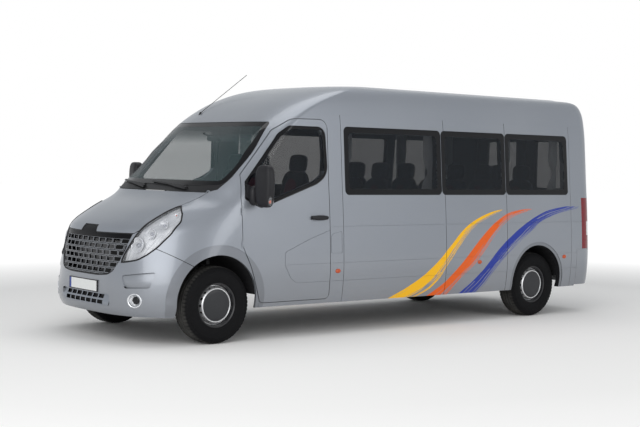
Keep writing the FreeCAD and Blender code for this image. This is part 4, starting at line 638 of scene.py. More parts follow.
plate.bump(plate.noise(500.0, 1.0), 0.0002, 0.3)
wear(plate.material, "front_plate", "rear_plate")
print("plates", 2 * PLATE_HALF, "by", 2 * PLATE_HIGH_HALF, "m")

# %% [markdown]
# The side carries small oval orange markers, and each cab door a handle. Their place is found by a
# ray from outside, so that they sit on the panel whatever its curve is. A handle is a rounded box:
# a grid over a sphere whose coordinates are raised to a power, which rounds every corner alike.

# %% Rays and rounded boxes
SIDES = ((1, "left"), (-1, "right"))
AHEAD, ASIDE = -3.3, 1.5         # rays start this far out in y or in x
STRAIGHT_UP, FORWARDS_IN = Vector((0, 0, 1)), (0, 1, 0)
trees = {}                       # one search tree for each node that a ray has met


def ray(node, origin, direction):
    """Where a ray meets a CAD node, and the normal there, which faces the ray."""
    if node not in trees:
        mesh = nodes[node].data
        trees[node] = BVHTree.FromPolygons([v.co for v in mesh.vertices],
                                           [p.vertices for p in mesh.polygons])
    hit, normal, _, _ = trees[node].ray_cast(Vector(origin), Vector(direction))
    return hit, -normal if normal.dot(Vector(direction)) > 0 else normal


def power(value, exponent):
    return math.copysign(abs(value) ** exponent, value)


def egg(centre, half, exponent, shape=None):
    """at(u, v) for a rounded box of the given half sizes; shape moves each point further."""

    def at(u, v):
        turn, lean = 2 * math.pi * u, math.pi * (v - 0.5)
        unit = Vector((power(math.cos(lean), exponent) * power(math.cos(turn), exponent),
                       power(math.cos(lean), exponent) * power(math.sin(turn), exponent),
                       power(math.sin(lean), exponent)))
        if shape:
            unit = shape(unit)
        return Vector([c + h * k for c, h, k in zip(centre, half, unit)])

    return at


def pebble(name, steps, material, centre, half, exponent, shape=None, body="body", slot="black_plastic"):
    """A rounded box as a piece of its own."""
    return piece(name, *grid(*steps, egg(centre, half, exponent, shape), True), material, body, slot)


print("rays start", -AHEAD, "m ahead and", ASIDE, "m aside")

# %% Markers and handles
ORANGE_PLASTIC, ORANGE_SHADE = (0.60, 0.085, 0.006), (0.34, 0.035, 0.003)
orange_lens = Finish("orange_lens", ORANGE_PLASTIC, roughness=0.15, coat_weight=0.2)
_, y, z = orange_lens.place()
prisms = (z * 900.0).math("SINE") * (y * 900.0).math("SINE")
orange_lens.vary(base_color=orange_lens.mix(prisms.over(0.0, 0.6), ORANGE_PLASTIC, ORANGE_SHADE))
orange_lens.bump(prisms, 0.0006, 0.5)
MARKERS = [(-0.874, 0.625), (1.125, 0.646), (2.521, 0.662)]
MARKER_LENGTH, MARKER_HEIGHT, MARKER_RISE, MARKER_LIFT = 0.034, 0.022, 0.009, 0.001
SLIDING_DOOR, HANDLE_PLACE = (-0.795, 0.6), (-1.107, 1.148)


def marker(name, side, y_place, z_place):
    """An oval domed lens on the side panel."""
    node = "side_left" if side > 0 else "side_right"
    if side < 0 and SLIDING_DOOR[0] < y_place < SLIDING_DOOR[1]:
        node = "sliding_door"
    hit, normal = ray(node, (side * ASIDE, y_place, z_place), (-side, 0, 0))
    along = Vector((0, MARKER_LENGTH, 0))
    rise = normal.cross(along).normalized() * MARKER_HEIGHT

    def at(u, v):
        turn, slope = 2 * math.pi * u, 0.5 * math.pi * v
        oval = (along * math.cos(turn) + rise * math.sin(turn)) * math.sin(slope)
        return hit + oval + normal * (math.cos(slope) * MARKER_RISE + MARKER_LIFT)

    piece(name, *grid(24, 6, at, True), orange_lens.material, slot="lamp_lens")


for side, word in SIDES:
    for index, (y_place, z_place) in enumerate(MARKERS):
        marker(f"side_marker_{word}_{index + 1}", side, y_place, z_place)
for side, word in SIDES:
    hit, _ = ray("cab_door_" + word, (side * ASIDE, *HANDLE_PLACE), (-side, 0, 0))
    pebble("cab_handle_" + word, (40, 20), mirror_plastic, hit, (side * 0.010, 0.104, 0.024), 0.8,
           body="cab_door_" + word)
print("markers", 2 * len(MARKERS), "and two handles")

# %% [markdown]
# Thin rubber beads run round the windscreen and the cab door panes, where the glass meets the
# metal. The faces of a pane that look outwards are one sheet, and the rim of that sheet is the
# line to follow. Its corners lie unevenly, so the line is first cut into even steps.

# %% Beads along a rim
OUTER = 0.6                      # an outer face looks away from the spine by more than this
ROUNDING_PASSES = 2


def from_spine(point):
    """The way from the vehicle's spine to a point."""
    return point - Vector((0, min(max(point.y, SPINE_FRONT), SPINE_BACK), SPINE_Z))


def looks(center, normal):
    """The same measure as outward(), for one face of a mesh."""
    return normal.dot(from_spine(center).normalized())


def faces_of(node, test):
    """The vertices and faces of a CAD node whose centre and normal pass a test."""
    mesh = nodes[node].data
    kept = [p for p in mesh.polygons if test(p.center, p.normal)]
    used = sorted({i for p in kept for i in p.vertices})
    index = {old: new for new, old in enumerate(used)}
    return [mesh.vertices[i].co.copy() for i in used], [[index[i] for i in p.vertices] for p in kept]


def rim_loops(vertices, faces):
    """The lines of corners round a sheet of faces, longest first."""
    sheet = bmesh.new()
    corners = [sheet.verts.new(v) for v in vertices]
    for face in faces:
        sheet.faces.new([corners[i] for i in face])
    bmesh.ops.remove_doubles(sheet, verts=sheet.verts, dist=0.0003)
    left = dict.fromkeys(edge for edge in sheet.edges if edge.is_boundary)
    loops = []
    while left:
        edge, _ = left.popitem()
        line = list(edge.verts)
        while ways := [edge for edge in line[-1].link_edges if edge in left]:
            left.pop(ways[0])
            line.append(ways[0].other_vert(line[-1]))
        if line[0] == line[-1]:
            line.pop()
        loops.append([vertex.co.copy() for vertex in line])
    sheet.free()
    return sorted(loops, key=lambda line: -sum((a - b).length for a, b in zip(line, line[1:])))


def evened(line, step):
    """The same closed line with corners about one step apart, rounded a little."""
    closed = line + line[:1]
    lengths = [(b - a).length for a, b in zip(closed, closed[1:])]
    count = max(8, round(sum(lengths) / step))
    spots, k, gone = [], 0, 0.0
    for i in range(count):
        target = sum(lengths) * i / count
        while gone + lengths[k] < target:
            gone += lengths[k]
            k += 1
        spots.append(closed[k].lerp(closed[k + 1], (target - gone) / max(lengths[k], 1e-9)))
    for _ in range(ROUNDING_PASSES):
        spots = [(spots[i - 1] + 2 * spots[i] + spots[(i + 1) % count]) / 4 for i in range(count)]
    return spots


def bead(name, line, radius, body="body", step=0.02, sides=8, lift=0.0):
    """A rubber bead that runs along a closed line; lift moves it away from the spine."""
    spots = evened(line, step)
    count = len(spots)

    def at(u, v):
        i = round(v * count) % count
        here = spots[i]
        run = (spots[(i + 1) % count] - spots[i - 1]).normalized()
        away = from_spine(here)
        side_way = run.cross(away).normalized()
        out = side_way.cross(run).normalized()
        if out.dot(away) < 0:
            out = -out
        turn = 2 * math.pi * u
        return here + out * (lift + radius * math.sin(turn)) + side_way * radius * math.cos(turn)

    return piece(name, *grid(sides, count, at, True, True), black_plastic, body)


print("outer faces of the windscreen",
      len(faces_of("windscreen", lambda c, n: looks(c, n) > OUTER)[1]))

# %% Seals and the inside mirror
for node, body, radius in (("windscreen", "body", 0.005), ("cab_glass_left", "cab_door_left", 0.006),
                           ("cab_glass_right", "cab_door_right", 0.006)):
    pane_edge = rim_loops(*faces_of(node, lambda c, n: looks(c, n) > OUTER))[0]
    bead(node + "_seal", pane_edge, radius, body, lift=0.001)
INSIDE_MIRROR, STALK_FOOT = Vector((-0.02, -1.640, 1.905)), Vector((-0.02, -1.765, 1.945))
STALK_RADIUS = 0.010
pebble("inside_mirror", (36, 20), mirror_plastic, INSIDE_MIRROR, (0.115, 0.016, 0.034), 0.5)


def stalk(u, v):
    """A stalk from the glass to the mirror."""
    turn = 2 * math.pi * u
    spot = STALK_FOOT.lerp(INSIDE_MIRROR + Vector((0, -0.005, 0.005)), v)
    return spot + Vector((STALK_RADIUS * math.cos(turn), 0, STALK_RADIUS * math.sin(turn)))


piece("inside_mirror_stalk", *grid(16, 8, stalk, True), mirror_plastic)
print("seals run, windscreen edge", len(pane_edge), "corners")

# %% [markdown]
# The headlamp solid is split by the way its faces look: the outer skin becomes a clear lens, the
# inner skin a bright housing, the edges between them black. A bead runs round the lens along the
# rim of its own mesh. Round reflector bowls with glass eyes, and a small one with an orange eye,
# give the depth behind the lens.

# %% Headlamp glass and housing
lens = Finish("clear_lens", (0.92, 0.94, 0.96), roughness=0.04, specular_ior_level=0.35)
x, _, _ = lens.place()
flutes = (x * 190.0).math("SINE") * 0.5 + 0.5
lens.vary(alpha=0.07 + flutes * 0.05, roughness=0.02 + lens.noise(3.0, 2.0) * 0.02)
HOUSING, HOUSING_TONE_AND_PAINTED_SHADE = (0.66, 0.67, 0.69), (0.34, 0.35, 0.38)
housing = Finish("bright_housing", HOUSING, metallic=0.15, roughness=0.30)
x, _, z = housing.place()
steps = ((x - z * 0.30) * 150.0).math("SINE")
# Darker patches at random are tone; the darker lines along the reflector steps are painted shade in
# their creases.
tone_and_step_shade = housing.noise(5.0, 1.0).over(0.5, 0.4).most(steps.over(0.72, 0.2) * 0.8)
housing.vary(base_color=housing.mix(tone_and_step_shade, HOUSING, HOUSING_TONE_AND_PAINTED_SHADE), roughness=0.24 + tone_and_step_shade * 0.12)
housing.bump(steps * 0.5, 0.0008, 0.4)
eye_glass = grained("projector_glass", (0.26, 0.27, 0.30), 0.05, 20.0, 0.0001, metallic=0.3)
bowl_silver = grained("bowl_silver", (0.62, 0.63, 0.66), 0.28, 60.0, 0.0001, metallic=0.5, spread=0.1)
fog_glass = grained("fog_lamp_glass", (0.012, 0.013, 0.015), 0.08, 20.0, 0.0001)
HEADLAMP_LOW, HOUSING_SHIFT = 0.6, 0.003
for side, word in SIDES:
    shells = (("headlamp_lens_", lambda c, n: looks(c, n) > OUTER, lens.material),
              ("headlamp_housing_", lambda c, n: looks(c, n) < -OUTER, housing.material),
              ("headlamp_rim_", lambda c, n: abs(looks(c, n)) <= OUTER, black_plastic))
    for stem, test, material in shells:
        vertices, faces = faces_of("front_lamps", lambda c, n: c.x * side > 0 and c.z > HEADLAMP_LOW
                                   and test(c, n))
        if stem == "headlamp_housing_":
            # The carrier touches the solid's inner skin, so the housing stands a little before it.
            shift = Vector((side, -1, 1)) * HOUSING_SHIFT
            vertices = [v + shift for v in vertices]
        shell = piece(stem + word, vertices, faces, material, slot="lamp_lens", smooth=False)
        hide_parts("front_lamps")
        if stem == "headlamp_lens_":
            bead("headlamp_seal_" + word, rim_loops(vertices, faces)[0], 0.0075)
print("headlamps split into", [stem for stem, _, _ in shells])

# %% Reflector bowls
# Each bowl: its place in x and z, its radius. The cup's section: share of that radius, height.
BOWLS = [(0.655, 0.905, 0.072), (0.727, 1.010, 0.050), (0.765, 1.092, 0.046), (0.757, 1.185, 0.020)]
CUP = [(0.10, 0.0), (0.40, 0.10), (0.62, 0.30), (0.80, 0.60), (0.90, 0.95), (0.97, 1.05), (1.0, 0.95),
       (1.0, 0.70)]
BOWL_SINK, CUP_HEIGHT, EYE, EYE_RISE, EYE_LIFT = 0.0318, 0.45, 0.36, 0.30, 0.002


def round_lamp(names, centre, front, radius, section, eye, materials, rows=8, oval=1.0):
    """A dish spun from (share of radius, rise) points, and a domed eye: its share, rise and lift."""
    across = front.cross(STRAIGHT_UP).normalized()
    above = across.cross(front)

    def spot(u, share, rise):
        turn = 2 * math.pi * u
        spoke = across * (math.cos(turn) * oval) + above * math.sin(turn)
        return centre + spoke * (radius * share) + front * rise

    def dish(u, v):
        return spot(u, *section[round(v * (len(section) - 1))])

    def dome(u, v):
        lean = 0.5 * math.pi * v
        return spot(u, eye[0] * math.sin(lean), eye[1] * math.cos(lean) + eye[2])

    piece(names[0], *grid(40, len(section) - 1, dish, True), materials[0], slot="lamp_lens")
    piece(names[1], *grid(28, rows, dome, True), materials[1], slot="lamp_lens")


for side, word in SIDES:
    for index, (x_place, z_place, radius) in enumerate(BOWLS):
        hit, normal = ray("front_lamps", (side * x_place, AHEAD, z_place), FORWARDS_IN)
        front = (normal + Vector((0, -0.8, 0))).normalized()
        name = f"headlamp_bowl_{word}_{index + 1}"
        round_lamp((name, name + "_eye"), hit - front * BOWL_SINK, front, radius,
                   [(share, height * radius * CUP_HEIGHT) for share, height in CUP],
                   (EYE, radius * EYE_RISE, EYE_LIFT),
                   (bowl_silver, orange_lens.material if index == 3 else eye_glass))
print("bowls", 2 * len(BOWLS))

# %% Fog lamps
FOG_X, FOG_Z, FOG_R, FOG_SPREAD, FOG_LIFT, FOG_OVAL = 0.708, 0.410, 0.048, 0.075, 0.004, 1.12
BEZEL = [(1.36, -0.002), (1.34, 0.004), (1.26, 0.006), (1.16, 0.002), (1.00, -0.006), (0.86, -0.016),
         (0.74, -0.026), (0.70, -0.027)]
FOG_EYE = (0.66, 0.008, -0.027)
bezel_silver = grained("fog_bezel_silver", (0.74, 0.75, 0.77), 0.25, 90.0, 0.0001, 0.7, 0.1)
for side, word in SIDES:
    outer, inner = [ray("front_bumper", (side * (FOG_X + shift), AHEAD, FOG_Z), FORWARDS_IN)
                    for shift in (FOG_SPREAD, -FOG_SPREAD)]
    front = (outer[1] + inner[1]).normalized()
    round_lamp(("fog_bezel_" + word, "fog_eye_" + word), (outer[0] + inner[0]) / 2 + front * FOG_LIFT,
               front, FOG_R, BEZEL, FOG_EYE, (bezel_silver, fog_glass), 6, FOG_OVAL)
print("fog lamps of", 2 * FOG_R, "m")

# %% [markdown]
# The grille is black, and a thin light metal line, a painted highlight on the cell edges, frames
# each of its cells; inside the lines the cells are painted black as painted shade. Both come from the
# distance to the nearest cell, which also goes on to the ends of the rows, where the solid has no
# openings. The lower grille is painted like the bumper.

# %% Grilles
ROW_Z, ROW_PITCH, ROW_HALF, CELL_PITCH, CELL_HALF, STRIP_Z = 0.664, 0.054, 0.019, 0.098, 0.041, 0.955
LOW_GRILLE_TOP, HIGHLIGHT_WIDTH = 0.52, 0.0045
STRIP_BLACK, BAR_BLACK, CELL_EDGE_PAINTED_HIGHLIGHT = (0.003, 0.003, 0.004), (0.012, 0.013, 0.015), (0.30, 0.31, 0.33)
CELL_PAINTED_SHADE = (0.003, 0.003, 0.003)
grille = Finish("grille_plastic", (0.02, 0.02, 0.022), roughness=0.35, specular_ior_level=0.12)
x, _, z = grille.place()
facing = outward(grille)
from_row = (z - ROW_Z + ROW_PITCH / 2).math("FLOORED_MODULO", ROW_PITCH) - ROW_PITCH / 2
odd = ((z - ROW_Z + ROW_PITCH / 2) / ROW_PITCH).math("FLOOR").math("FLOORED_MODULO", 2.0)
from_cell = (x + CELL_PITCH / 2 * (1.0 - odd)).math("FLOORED_MODULO", CELL_PITCH) - CELL_PITCH / 2
beyond = (from_cell.size() - CELL_HALF).most(from_row.size() - ROW_HALF)
bars = facing.over(0.75, 0.1) * z.under(STRIP_Z)
# A painted highlight: a light line round each cell, where the light catches its edge.
painted_highlight_line = beyond.between(0.0, HIGHLIGHT_WIDTH) * bars
# The cells are painted near-black as painted shade, also where the solid has no opening.
painted_cell_shade = beyond.under(0.0) * bars
low_bars = z.under(LOW_GRILLE_TOP) * facing.over(0.70, 0.1)
tone = grille.mix(bars, STRIP_BLACK, BAR_BLACK)
tone = grille.mix(painted_highlight_line, tone, CELL_EDGE_PAINTED_HIGHLIGHT)
tone = grille.mix(painted_cell_shade, tone, CELL_PAINTED_SHADE)
tone = grille.mix(low_bars, tone, PAINT)
grille.vary(base_color=tone, metallic=low_bars.most(painted_highlight_line) * 0.6,
            roughness=0.28 + grille.noise(50.0, 3.0) * 0.12)
grille.bump(grille.noise(400.0, 2.0), 0.0003, 0.4)
wear(grille.material, "grille")
grille_sheet = faces_of("grille", lambda c, n: c.z > LOW_GRILLE_TOP and looks(c, n) > OUTER)
grille_edge = rim_loops(*grille_sheet)[0]
bead("grille_surround", grille_edge, 0.007, lift=-0.001)
LOW_BAR_Z, LOW_HALF, SHEET_BACK, SHEET_HALF = 0.396, 0.42, 0.030, 0.062


def low_shade_sheet(u, v):
    """A dark sheet of painted shade behind the lower grille, which hides the engine bay."""
    x_here = LOW_HALF * (2 * u - 1)
    bar, _ = ray("grille", (x_here, AHEAD, LOW_BAR_Z), FORWARDS_IN)
    return Vector((x_here, bar.y + SHEET_BACK, LOW_BAR_Z + SHEET_HALF * (2 * v - 1)))


# Painted shade: a dark sheet behind the lower grille.
piece("lower_grille_shade_sheet", *grid(14, 2, low_shade_sheet), chassis_paint)
print("grille surround", len(grille_edge), "corners")

# %% [markdown]
# The tail lamp is one tall strip in red, with a clear pane for the reversing and turn lamps in its
# middle. Fine ribs in the plastic scatter the light, so they are both a bump and a shade.

# %% Tail lamps
CLEAR_PANE, CLEAR_BEHIND = (0.90, 1.06), 2.93
TAIL_RED, TAIL_SHADE, PANE_PALE = (0.26, 0.003, 0.012), (0.10, 0.001, 0.005), (0.72, 0.70, 0.70)
tail = Finish("tail_lens", TAIL_RED, roughness=0.12, coat_weight=0.3, specular_ior_level=0.3)
x, y, z = tail.place()
clear_pane = z.between(*CLEAR_PANE, 0.004) * y.over(CLEAR_BEHIND, 0.01)
ribs = (z * 520.0).math("SINE")
red = tail.mix(ribs.over(0.0, 1.2), TAIL_RED, TAIL_SHADE)
tail.vary(base_color=tail.mix(clear_pane, red, PANE_PALE),
          roughness=0.08 + tail.noise(9.0, 2.0) * 0.06)
tail.bump(ribs * 0.5 + (x * 420.0).math("SINE") * 0.5, 0.0008, 0.4)
wear(tail.material, "tail_lamps")
print("tail lamps finished")

# %% [markdown]
# A door mirror is a tall housing on a short arm. Its shell is the same rounded box as the handles,
# pressed flat behind and drawn in at the front and foot by a function of its unit shape, so there is
# no corner to round afterwards.

# %% Door mirrors
HEAD_INSET, HEAD_Y, HEAD_Z, HEAD_HALF, HEAD_POWER = 0.096, -1.852, 1.452, (0.098, 0.062, 0.196), 0.50
GLASS_BACK, SEAM_STEPS, SEAM_SHARE, FOOT_X, FOOT_TOP = 0.0385, 96, 0.70, 1.052, 1.49
ARM_ROOT_X, ARM_TUCK, ARM_Y, ARM_Z, ARM_RADIUS, ARM_FLARE = 0.985, 0.150, -1.885, 1.345, 0.034, 0.014
# Each glass: its name, its height over the floor, its half height.
MIRROR_PANES = (("upper", 1.500, 0.104), ("lower", 1.328, 0.040))


def mirror_shape(unit):
    """Flat behind, domed in front, narrower at its foot."""
    narrow = 1.0 - 0.10 * max(0.0, -unit.z) - 0.05 * max(0.0, unit.z)
    y_share = unit.y if unit.y < 0 else unit.y * 0.75
    taper = 0.25 * unit.x if unit.y < 0 else 0.0
    return Vector((unit.x * narrow, y_share * (1.0 - taper), unit.z))


mirror_glass = grained("mirror_glass", (0.55, 0.57, 0.60), 0.03, 10.0, 0.00005, 1.0, 0.05)
for side, word in SIDES:
    body = "cab_door_" + word
    low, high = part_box("mirror_" + word)
    outer = high.x if side > 0 else -low.x

    def at_side(x_place, y_place, z_place):
        return Vector((side * x_place, y_place, z_place))

    head_x = outer - HEAD_INSET
    head_shape = at_side(head_x, HEAD_Y, HEAD_Z), at_side(*HEAD_HALF), HEAD_POWER, mirror_shape
    head = pebble("mirror_head_" + word, (64, 40), mirror_plastic, *head_shape, body)
    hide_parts("mirror_" + word)
    for part_name, z_middle, z_half in MIRROR_PANES:
        pebble(f"mirror_glass_{part_name}_{word}", (32, 16), mirror_glass,
               at_side(head_x, HEAD_Y + GLASS_BACK, z_middle), at_side(0.070, 0.006, z_half), 0.45,
               body=body)
    vertices, faces = faces_of("mirror_" + word, lambda c, n: abs(c.x) < FOOT_X and c.z < FOOT_TOP)
    piece("mirror_foot_" + word, vertices, faces, mirror_plastic, body, smooth=False)
    pebble("mirror_knuckle_" + word, (40, 24), mirror_plastic, at_side(1.012, -1.885, 1.362),
           at_side(0.048, 0.062, 0.092), 0.75, body=body)
    seam_line = [egg(*head_shape)(i / SEAM_STEPS, SEAM_SHARE) for i in range(SEAM_STEPS)]
    bead("mirror_seam_" + word, seam_line, 0.0022, body, 0.008, 6)

    def arm(u, v):
        turn = 2 * math.pi * u
        swell = ARM_RADIUS + ARM_FLARE * (1 - v) ** 2
        return at_side(ARM_ROOT_X + (outer - ARM_TUCK - ARM_ROOT_X) * v,
                       ARM_Y + 0.025 * v + swell * math.cos(turn),
                       ARM_Z + 0.03 * v + 1.25 * swell * math.sin(turn))

    piece("mirror_arm_" + word, *grid(28, 10, arm, True), mirror_plastic, body)
    lamp_place = at_side(outer - 0.016, -1.862, 1.322)
    pebble("mirror_indicator_" + word, (24, 12), lens.material, lamp_place, at_side(0.015, 0.022, 0.046),
           0.85, None, body, "lamp_lens")
    pebble("mirror_bulb_" + word, (20, 10), orange_lens.material, lamp_place - Vector((0, 0, 0.008)),
           at_side(0.009, 0.014, 0.020), 1.0, None, body, "lamp_lens")
print("mirrors", len(SIDES), "of", 2 * HEAD_HALF[2], "m height")

# %% [markdown]
# Seats are padded: a base, a back and a head pillow for each place, in dark grey cloth with a
# burgundy panel. Each pad starts as a rounded box, is blown up a little by a cloth simulation
# that holds it to a small cap, and is then used for every seat of its size.

# %% Seat cloth
CLOTH_GREY, CLOTH_RED = (0.032, 0.032, 0.036), (0.085, 0.010, 0.020)
SEAT_WIDTH, PLUMP_STEPS = 0.44, 12


def cloth_finish(name, ground):
    """Woven cloth: two sets of threads, a nap that spreads the light, and a little fading."""
    finish = Finish(name, ground, roughness=0.9, sheen_weight=0.25, sheen_roughness=0.5)
    x, y, z = finish.place()
    warp = (x * 1400.0).math("SINE")
    weft = ((y + z) * 1400.0).math("SINE")
    weave = warp * weft
    fading = finish.noise(5.0, 4.0)
    pale = tuple(c * 1.7 + 0.01 for c in ground)
    finish.vary(base_color=finish.mix(weave.over(0.0, 1.2) * 0.5 + fading * 0.3, ground, pale),
                roughness=0.82 + fading * 0.12)
    return finish.bump(weave, 0.0006, 0.6).material


grey_cloth = cloth_finish("grey_seat_cloth", CLOTH_GREY)
red_cloth = cloth_finish("burgundy_seat_cloth", CLOTH_RED)


def pad_mesh(name, half, exponent=0.55, cap=0.010):
    """A rounded box in seat cloth, plumped by a short cloth simulation."""
    mesh = shell_mesh(name, *grid(36, 22, egg((0, 0, 0), half, exponent), True), weld=0.0005)
    made = linked(name, mesh)
    start = [v.co.copy() for v in mesh.vertices]
    cloth = made.modifiers.new("plump", "CLOTH")
    cloth.settings.effector_weights.gravity = 0
    cloth.settings.use_pressure = True
    cloth.settings.uniform_pressure_force = 4
    for step in range(PLUMP_STEPS):
        bpy.context.scene.frame_set(step + 1)
    shaped = made.evaluated_get(bpy.context.evaluated_depsgraph_get()).to_mesh()
    moved = [v.co.copy() for v in shaped.vertices]
    made.modifiers.remove(cloth)
    bpy.context.scene.frame_set(1)
    for vertex, old, new in zip(mesh.vertices, start, moved):
        step_out = new - old
        vertex.co = old + step_out * min(1.0, cap / max(step_out.length, 1e-9))
    mesh.shade_smooth()
    bpy.data.objects.remove(made)
    return mesh


PADS = {"base": (SEAT_WIDTH / 2 - 0.012, 0.205, 0.062), "back": (SEAT_WIDTH / 2 - 0.012, 0.052, 0.300),
        "head": (0.120, 0.042, 0.092), "panel": (0.130, 0.040, 0.270)}
pads = {name: pad_mesh("pad_" + name, half) for name, half in PADS.items()}
CAB_FLOOR, PLINTH, SEAT_HEIGHT = 0.540, 0.060, 0.320


def seat_pads(name, x_middle, y_front, z_base, lean=math.radians(6.5)):
    """The four pads of one place, facing forwards."""
    made = []
    for part_name, offset, turn, material in (("base", (0, 0.215, 0.055), 0.0, grey_cloth),
                                              ("back", (0, 0.455, 0.385), lean, grey_cloth),
                                              ("panel", (0, 0.437, 0.375), lean, red_cloth),
                                              ("head", (0, 0.505, 0.745), lean, grey_cloth)):
        mesh = pads[part_name].copy()
        spot = Matrix.Translation(Vector((x_middle, y_front, z_base)) + Vector(offset))
        mesh.transform(spot @ Matrix.Rotation(-turn, 4, "X"))
        pad = riding(f"{name}_{part_name}", mesh, material, "body", "seat_cloth")
        made.append(pad)
    return made


CAB_SEATS = [(0.43, -1.42), (-0.20, -1.42), (-0.64, -1.42)]
SALOON_ROWS = [-0.48, 0.30, 1.08, 1.86]
PAIR_X, LAST_PAIR_X, LAST_STEP, SINGLE_X = 0.19, 0.145, 0.35, -0.635
saloon_places = [(PAIR_X + SEAT_WIDTH * k, y_row) for y_row in SALOON_ROWS[:3] for k in range(2)]
saloon_places += [(LAST_PAIR_X + LAST_STEP * k, SALOON_ROWS[3]) for k in range(2)]
saloon_places += [(SINGLE_X, y_row) for y_row in SALOON_ROWS[1:3]]
cab_pads = [pad for i, (x_seat, y_seat) in enumerate(CAB_SEATS)
            for pad in seat_pads(f"cab_seat_{i + 1}", x_seat, y_seat, CAB_FLOOR + PLINTH + SEAT_HEIGHT)]
saloon_pads = [pad for i, (x_seat, y_seat) in enumerate(saloon_places)
               for pad in seat_pads(f"saloon_seat_{i + 1}", x_seat, y_seat, CAB_FLOOR + SEAT_HEIGHT)]
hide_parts("cab_seats")
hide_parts("saloon_seats")
print("seats", len(CAB_SEATS) + len(saloon_places), "pads", len(cab_pads) + len(saloon_pads))

# %% [markdown]
# Each curtain is a straight cut of pale cloth, gathered on its rail and tied at mid-height. A pleat
# is a sine across the width; the tie pulls the pleats together, and the cloth above bells
# out over it.

# %% Curtains
curtain_cloth = cloth_finish("curtain_cloth", (0.66, 0.67, 0.68))
CURTAIN_PLACES = [-0.645, 0.495, 1.695, 2.495]
CURTAIN_TOP, CURTAIN_FOOT, TIE_HEIGHT = 2.052, 1.335, 1.600
CURTAIN_WIDTH, PLEATS, PLEAT_DEPTH = 0.150, 7, 0.011
CURTAIN_X, TIE_REACH, TIE_PULL, TIE_SWING = 0.846, 0.085, 0.58, 0.035


def curtain(name, side, y_middle, lean):
    """A gathered sheet hung inside a side window."""

    def at(u, v):
        z_here = CURTAIN_TOP + (CURTAIN_FOOT - CURTAIN_TOP) * v
        tie = math.exp(-((z_here - TIE_HEIGHT) / TIE_REACH) ** 2)
        width = CURTAIN_WIDTH * (1.0 - TIE_PULL * tie)
        swing = lean * TIE_SWING * tie
        depth = PLEAT_DEPTH * math.sin(2 * math.pi * PLEATS * u + 0.5 * math.sin(5 * v))
        return Vector((side * (CURTAIN_X + depth), y_middle + swing + width * (u - 0.5), z_here))

    cloth = piece(name, *grid(PLEATS * 12, 40, at), curtain_cloth, slot="curtain_cloth")
    return cloth


curtains = [curtain(f"curtain_{word}_{i + 1}", side, y_place, 1 if i % 2 else -1)
            for side, word in SIDES for i, y_place in enumerate(CURTAIN_PLACES)]
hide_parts("curtains")
print("curtains", len(curtains), "flat width",
      round(sum(p.area for p in curtains[0].data.polygons) / (CURTAIN_TOP - CURTAIN_FOOT), 3))

# %% [markdown]
# The stage is a pale floor under soft light. Near the vehicle the floor is plain and keeps its
# shadow; farther out it turns into plain white for the camera and for reflections, so that no
# horizon shows. The sky is dimmer overhead than at its rim, which shapes the roof and shoulders.

# %% Floor
FLOOR_SIZE, WHITE_FROM, WHITE_OVER = 60.0, 4.6, 3.6
FLOOR_PALE, BLACK, WHITE = (0.94, 0.925, 0.905), (0.0, 0.0, 0.0), (1.0, 1.0, 1.0)
stage_floor = bpy.data.meshes.new("floor")
corners = [(FLOOR_SIZE * i, FLOOR_SIZE * j, 0) for i, j in ((-1, -1), (1, -1), (1, 1), (-1, 1))]
stage_floor.from_pydata(corners, [], [(0, 1, 2, 3)])
floor_finish = Finish("pale_floor", FLOOR_PALE, roughness=0.9, specular_ior_level=0.1,
                      emission_strength=1.0)
x, y, _ = floor_finish.place()
far_out = ((x * x + y * y * 0.55).math("SQRT") - WHITE_FROM) / WHITE_OVER
from_camera, glossy, through = floor_finish.rays()
glow = far_out.math("MULTIPLY", 1.0, clamp=True) * from_camera.most(glossy).most(through)
floor_finish.vary(base_color=floor_finish.mix(glow, FLOOR_PALE, BLACK),
                  emission_color=floor_finish.mix(glow, BLACK, WHITE))
stage_floor.materials.append(floor_finish.material)
linked("floor", stage_floor)
print("floor of", 2 * FLOOR_SIZE, "m")

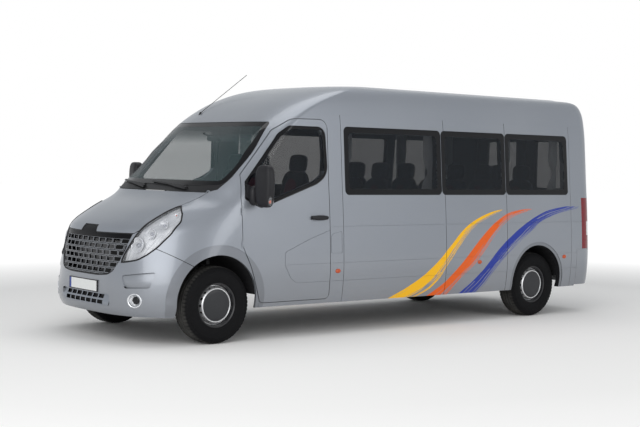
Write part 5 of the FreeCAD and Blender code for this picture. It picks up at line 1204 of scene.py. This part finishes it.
# %% World
SKY_RIM, SKY_TOP, GLOSS_SHARE, SKY_TINT = 0.74, 0.36, 0.25, (0.93, 0.965, 1.0)
world = bpy.data.worlds.new("studio")
bpy.context.scene.world = world
world.use_nodes = True
air = Nodes(world.node_tree)
background = world.node_tree.nodes["Background"]
point = air.node("ShaderNodeTexCoord", output=0)
rise = air.node("ShaderNodeSeparateXYZ", {}, {0: point}, output=2).most(0.0)
sky = rise * (SKY_TOP - SKY_RIM) + SKY_RIM
from_camera, glossy, through = air.rays()
seen = from_camera.most(through).most(glossy * GLOSS_SHARE)
air.put(background.inputs["Strength"], sky + seen * (1.0 - sky))
air.put(background.inputs["Color"], air.mix(seen, SKY_TINT, WHITE))
bpy.context.scene.view_settings.view_transform = "Standard"
print("sky from", SKY_RIM, "at the rim to", SKY_TOP, "overhead")


# %% Lamps
def lamp(name, place, aim, size, power_watts):
    """A square area light that looks at a point."""
    light = bpy.data.lights.new(name, "AREA")
    light.shape, light.size, light.energy = "SQUARE", size, power_watts
    made = linked(name, light)
    made.location = place
    made.rotation_euler = (Vector(aim) - Vector(place)).to_track_quat("-Z", "Y").to_euler()


lamp("key_light", (7.0, -10.5, 5.5), (0.6, -2.2, 0.9), 9.0, 640)
lamp("side_light", (11.0, 3.0, 4.5), (0, 1.5, 1.0), 5.0, 170)
lamp("top_light", (0.0, 0.5, 9.0), (0, 0.5, 0.0), 7.0, 240)
print("lamps", len(bpy.data.lights))

# %% [markdown]
# The camera stands where the photographer stood, seen from the fitted wheels and roof line: ahead
# of the left front corner, at standing height, with a slight roll.

# %% Camera
CAMERA_PLACE = Vector((10.552, -8.946, 1.674))
CAMERA_TURN, CAMERA_TILT, CAMERA_ROLL = math.radians(50.55), math.radians(2.25), math.radians(1.16)
LENS, SENSOR = 71.9, 36.0
back = Vector((math.sin(CAMERA_TURN) * math.cos(CAMERA_TILT),
               -math.cos(CAMERA_TURN) * math.cos(CAMERA_TILT), math.sin(CAMERA_TILT)))
right = Vector((math.cos(CAMERA_TURN), math.sin(CAMERA_TURN), 0))
up = back.cross(right)
rolled_right = right * math.cos(CAMERA_ROLL) + up * math.sin(CAMERA_ROLL)
rolled_up = up * math.cos(CAMERA_ROLL) - right * math.sin(CAMERA_ROLL)
camera_data = bpy.data.cameras.new("camera")
camera_data.lens, camera_data.sensor_width, camera_data.sensor_fit = LENS, SENSOR, "HORIZONTAL"
camera = linked("camera", camera_data)
turn = Matrix((rolled_right, rolled_up, back)).transposed().to_4x4()
camera.matrix_world = Matrix.Translation(CAMERA_PLACE) @ turn
bpy.context.scene.camera = camera
print("camera at", CAMERA_PLACE, "with a lens of", LENS, "mm")
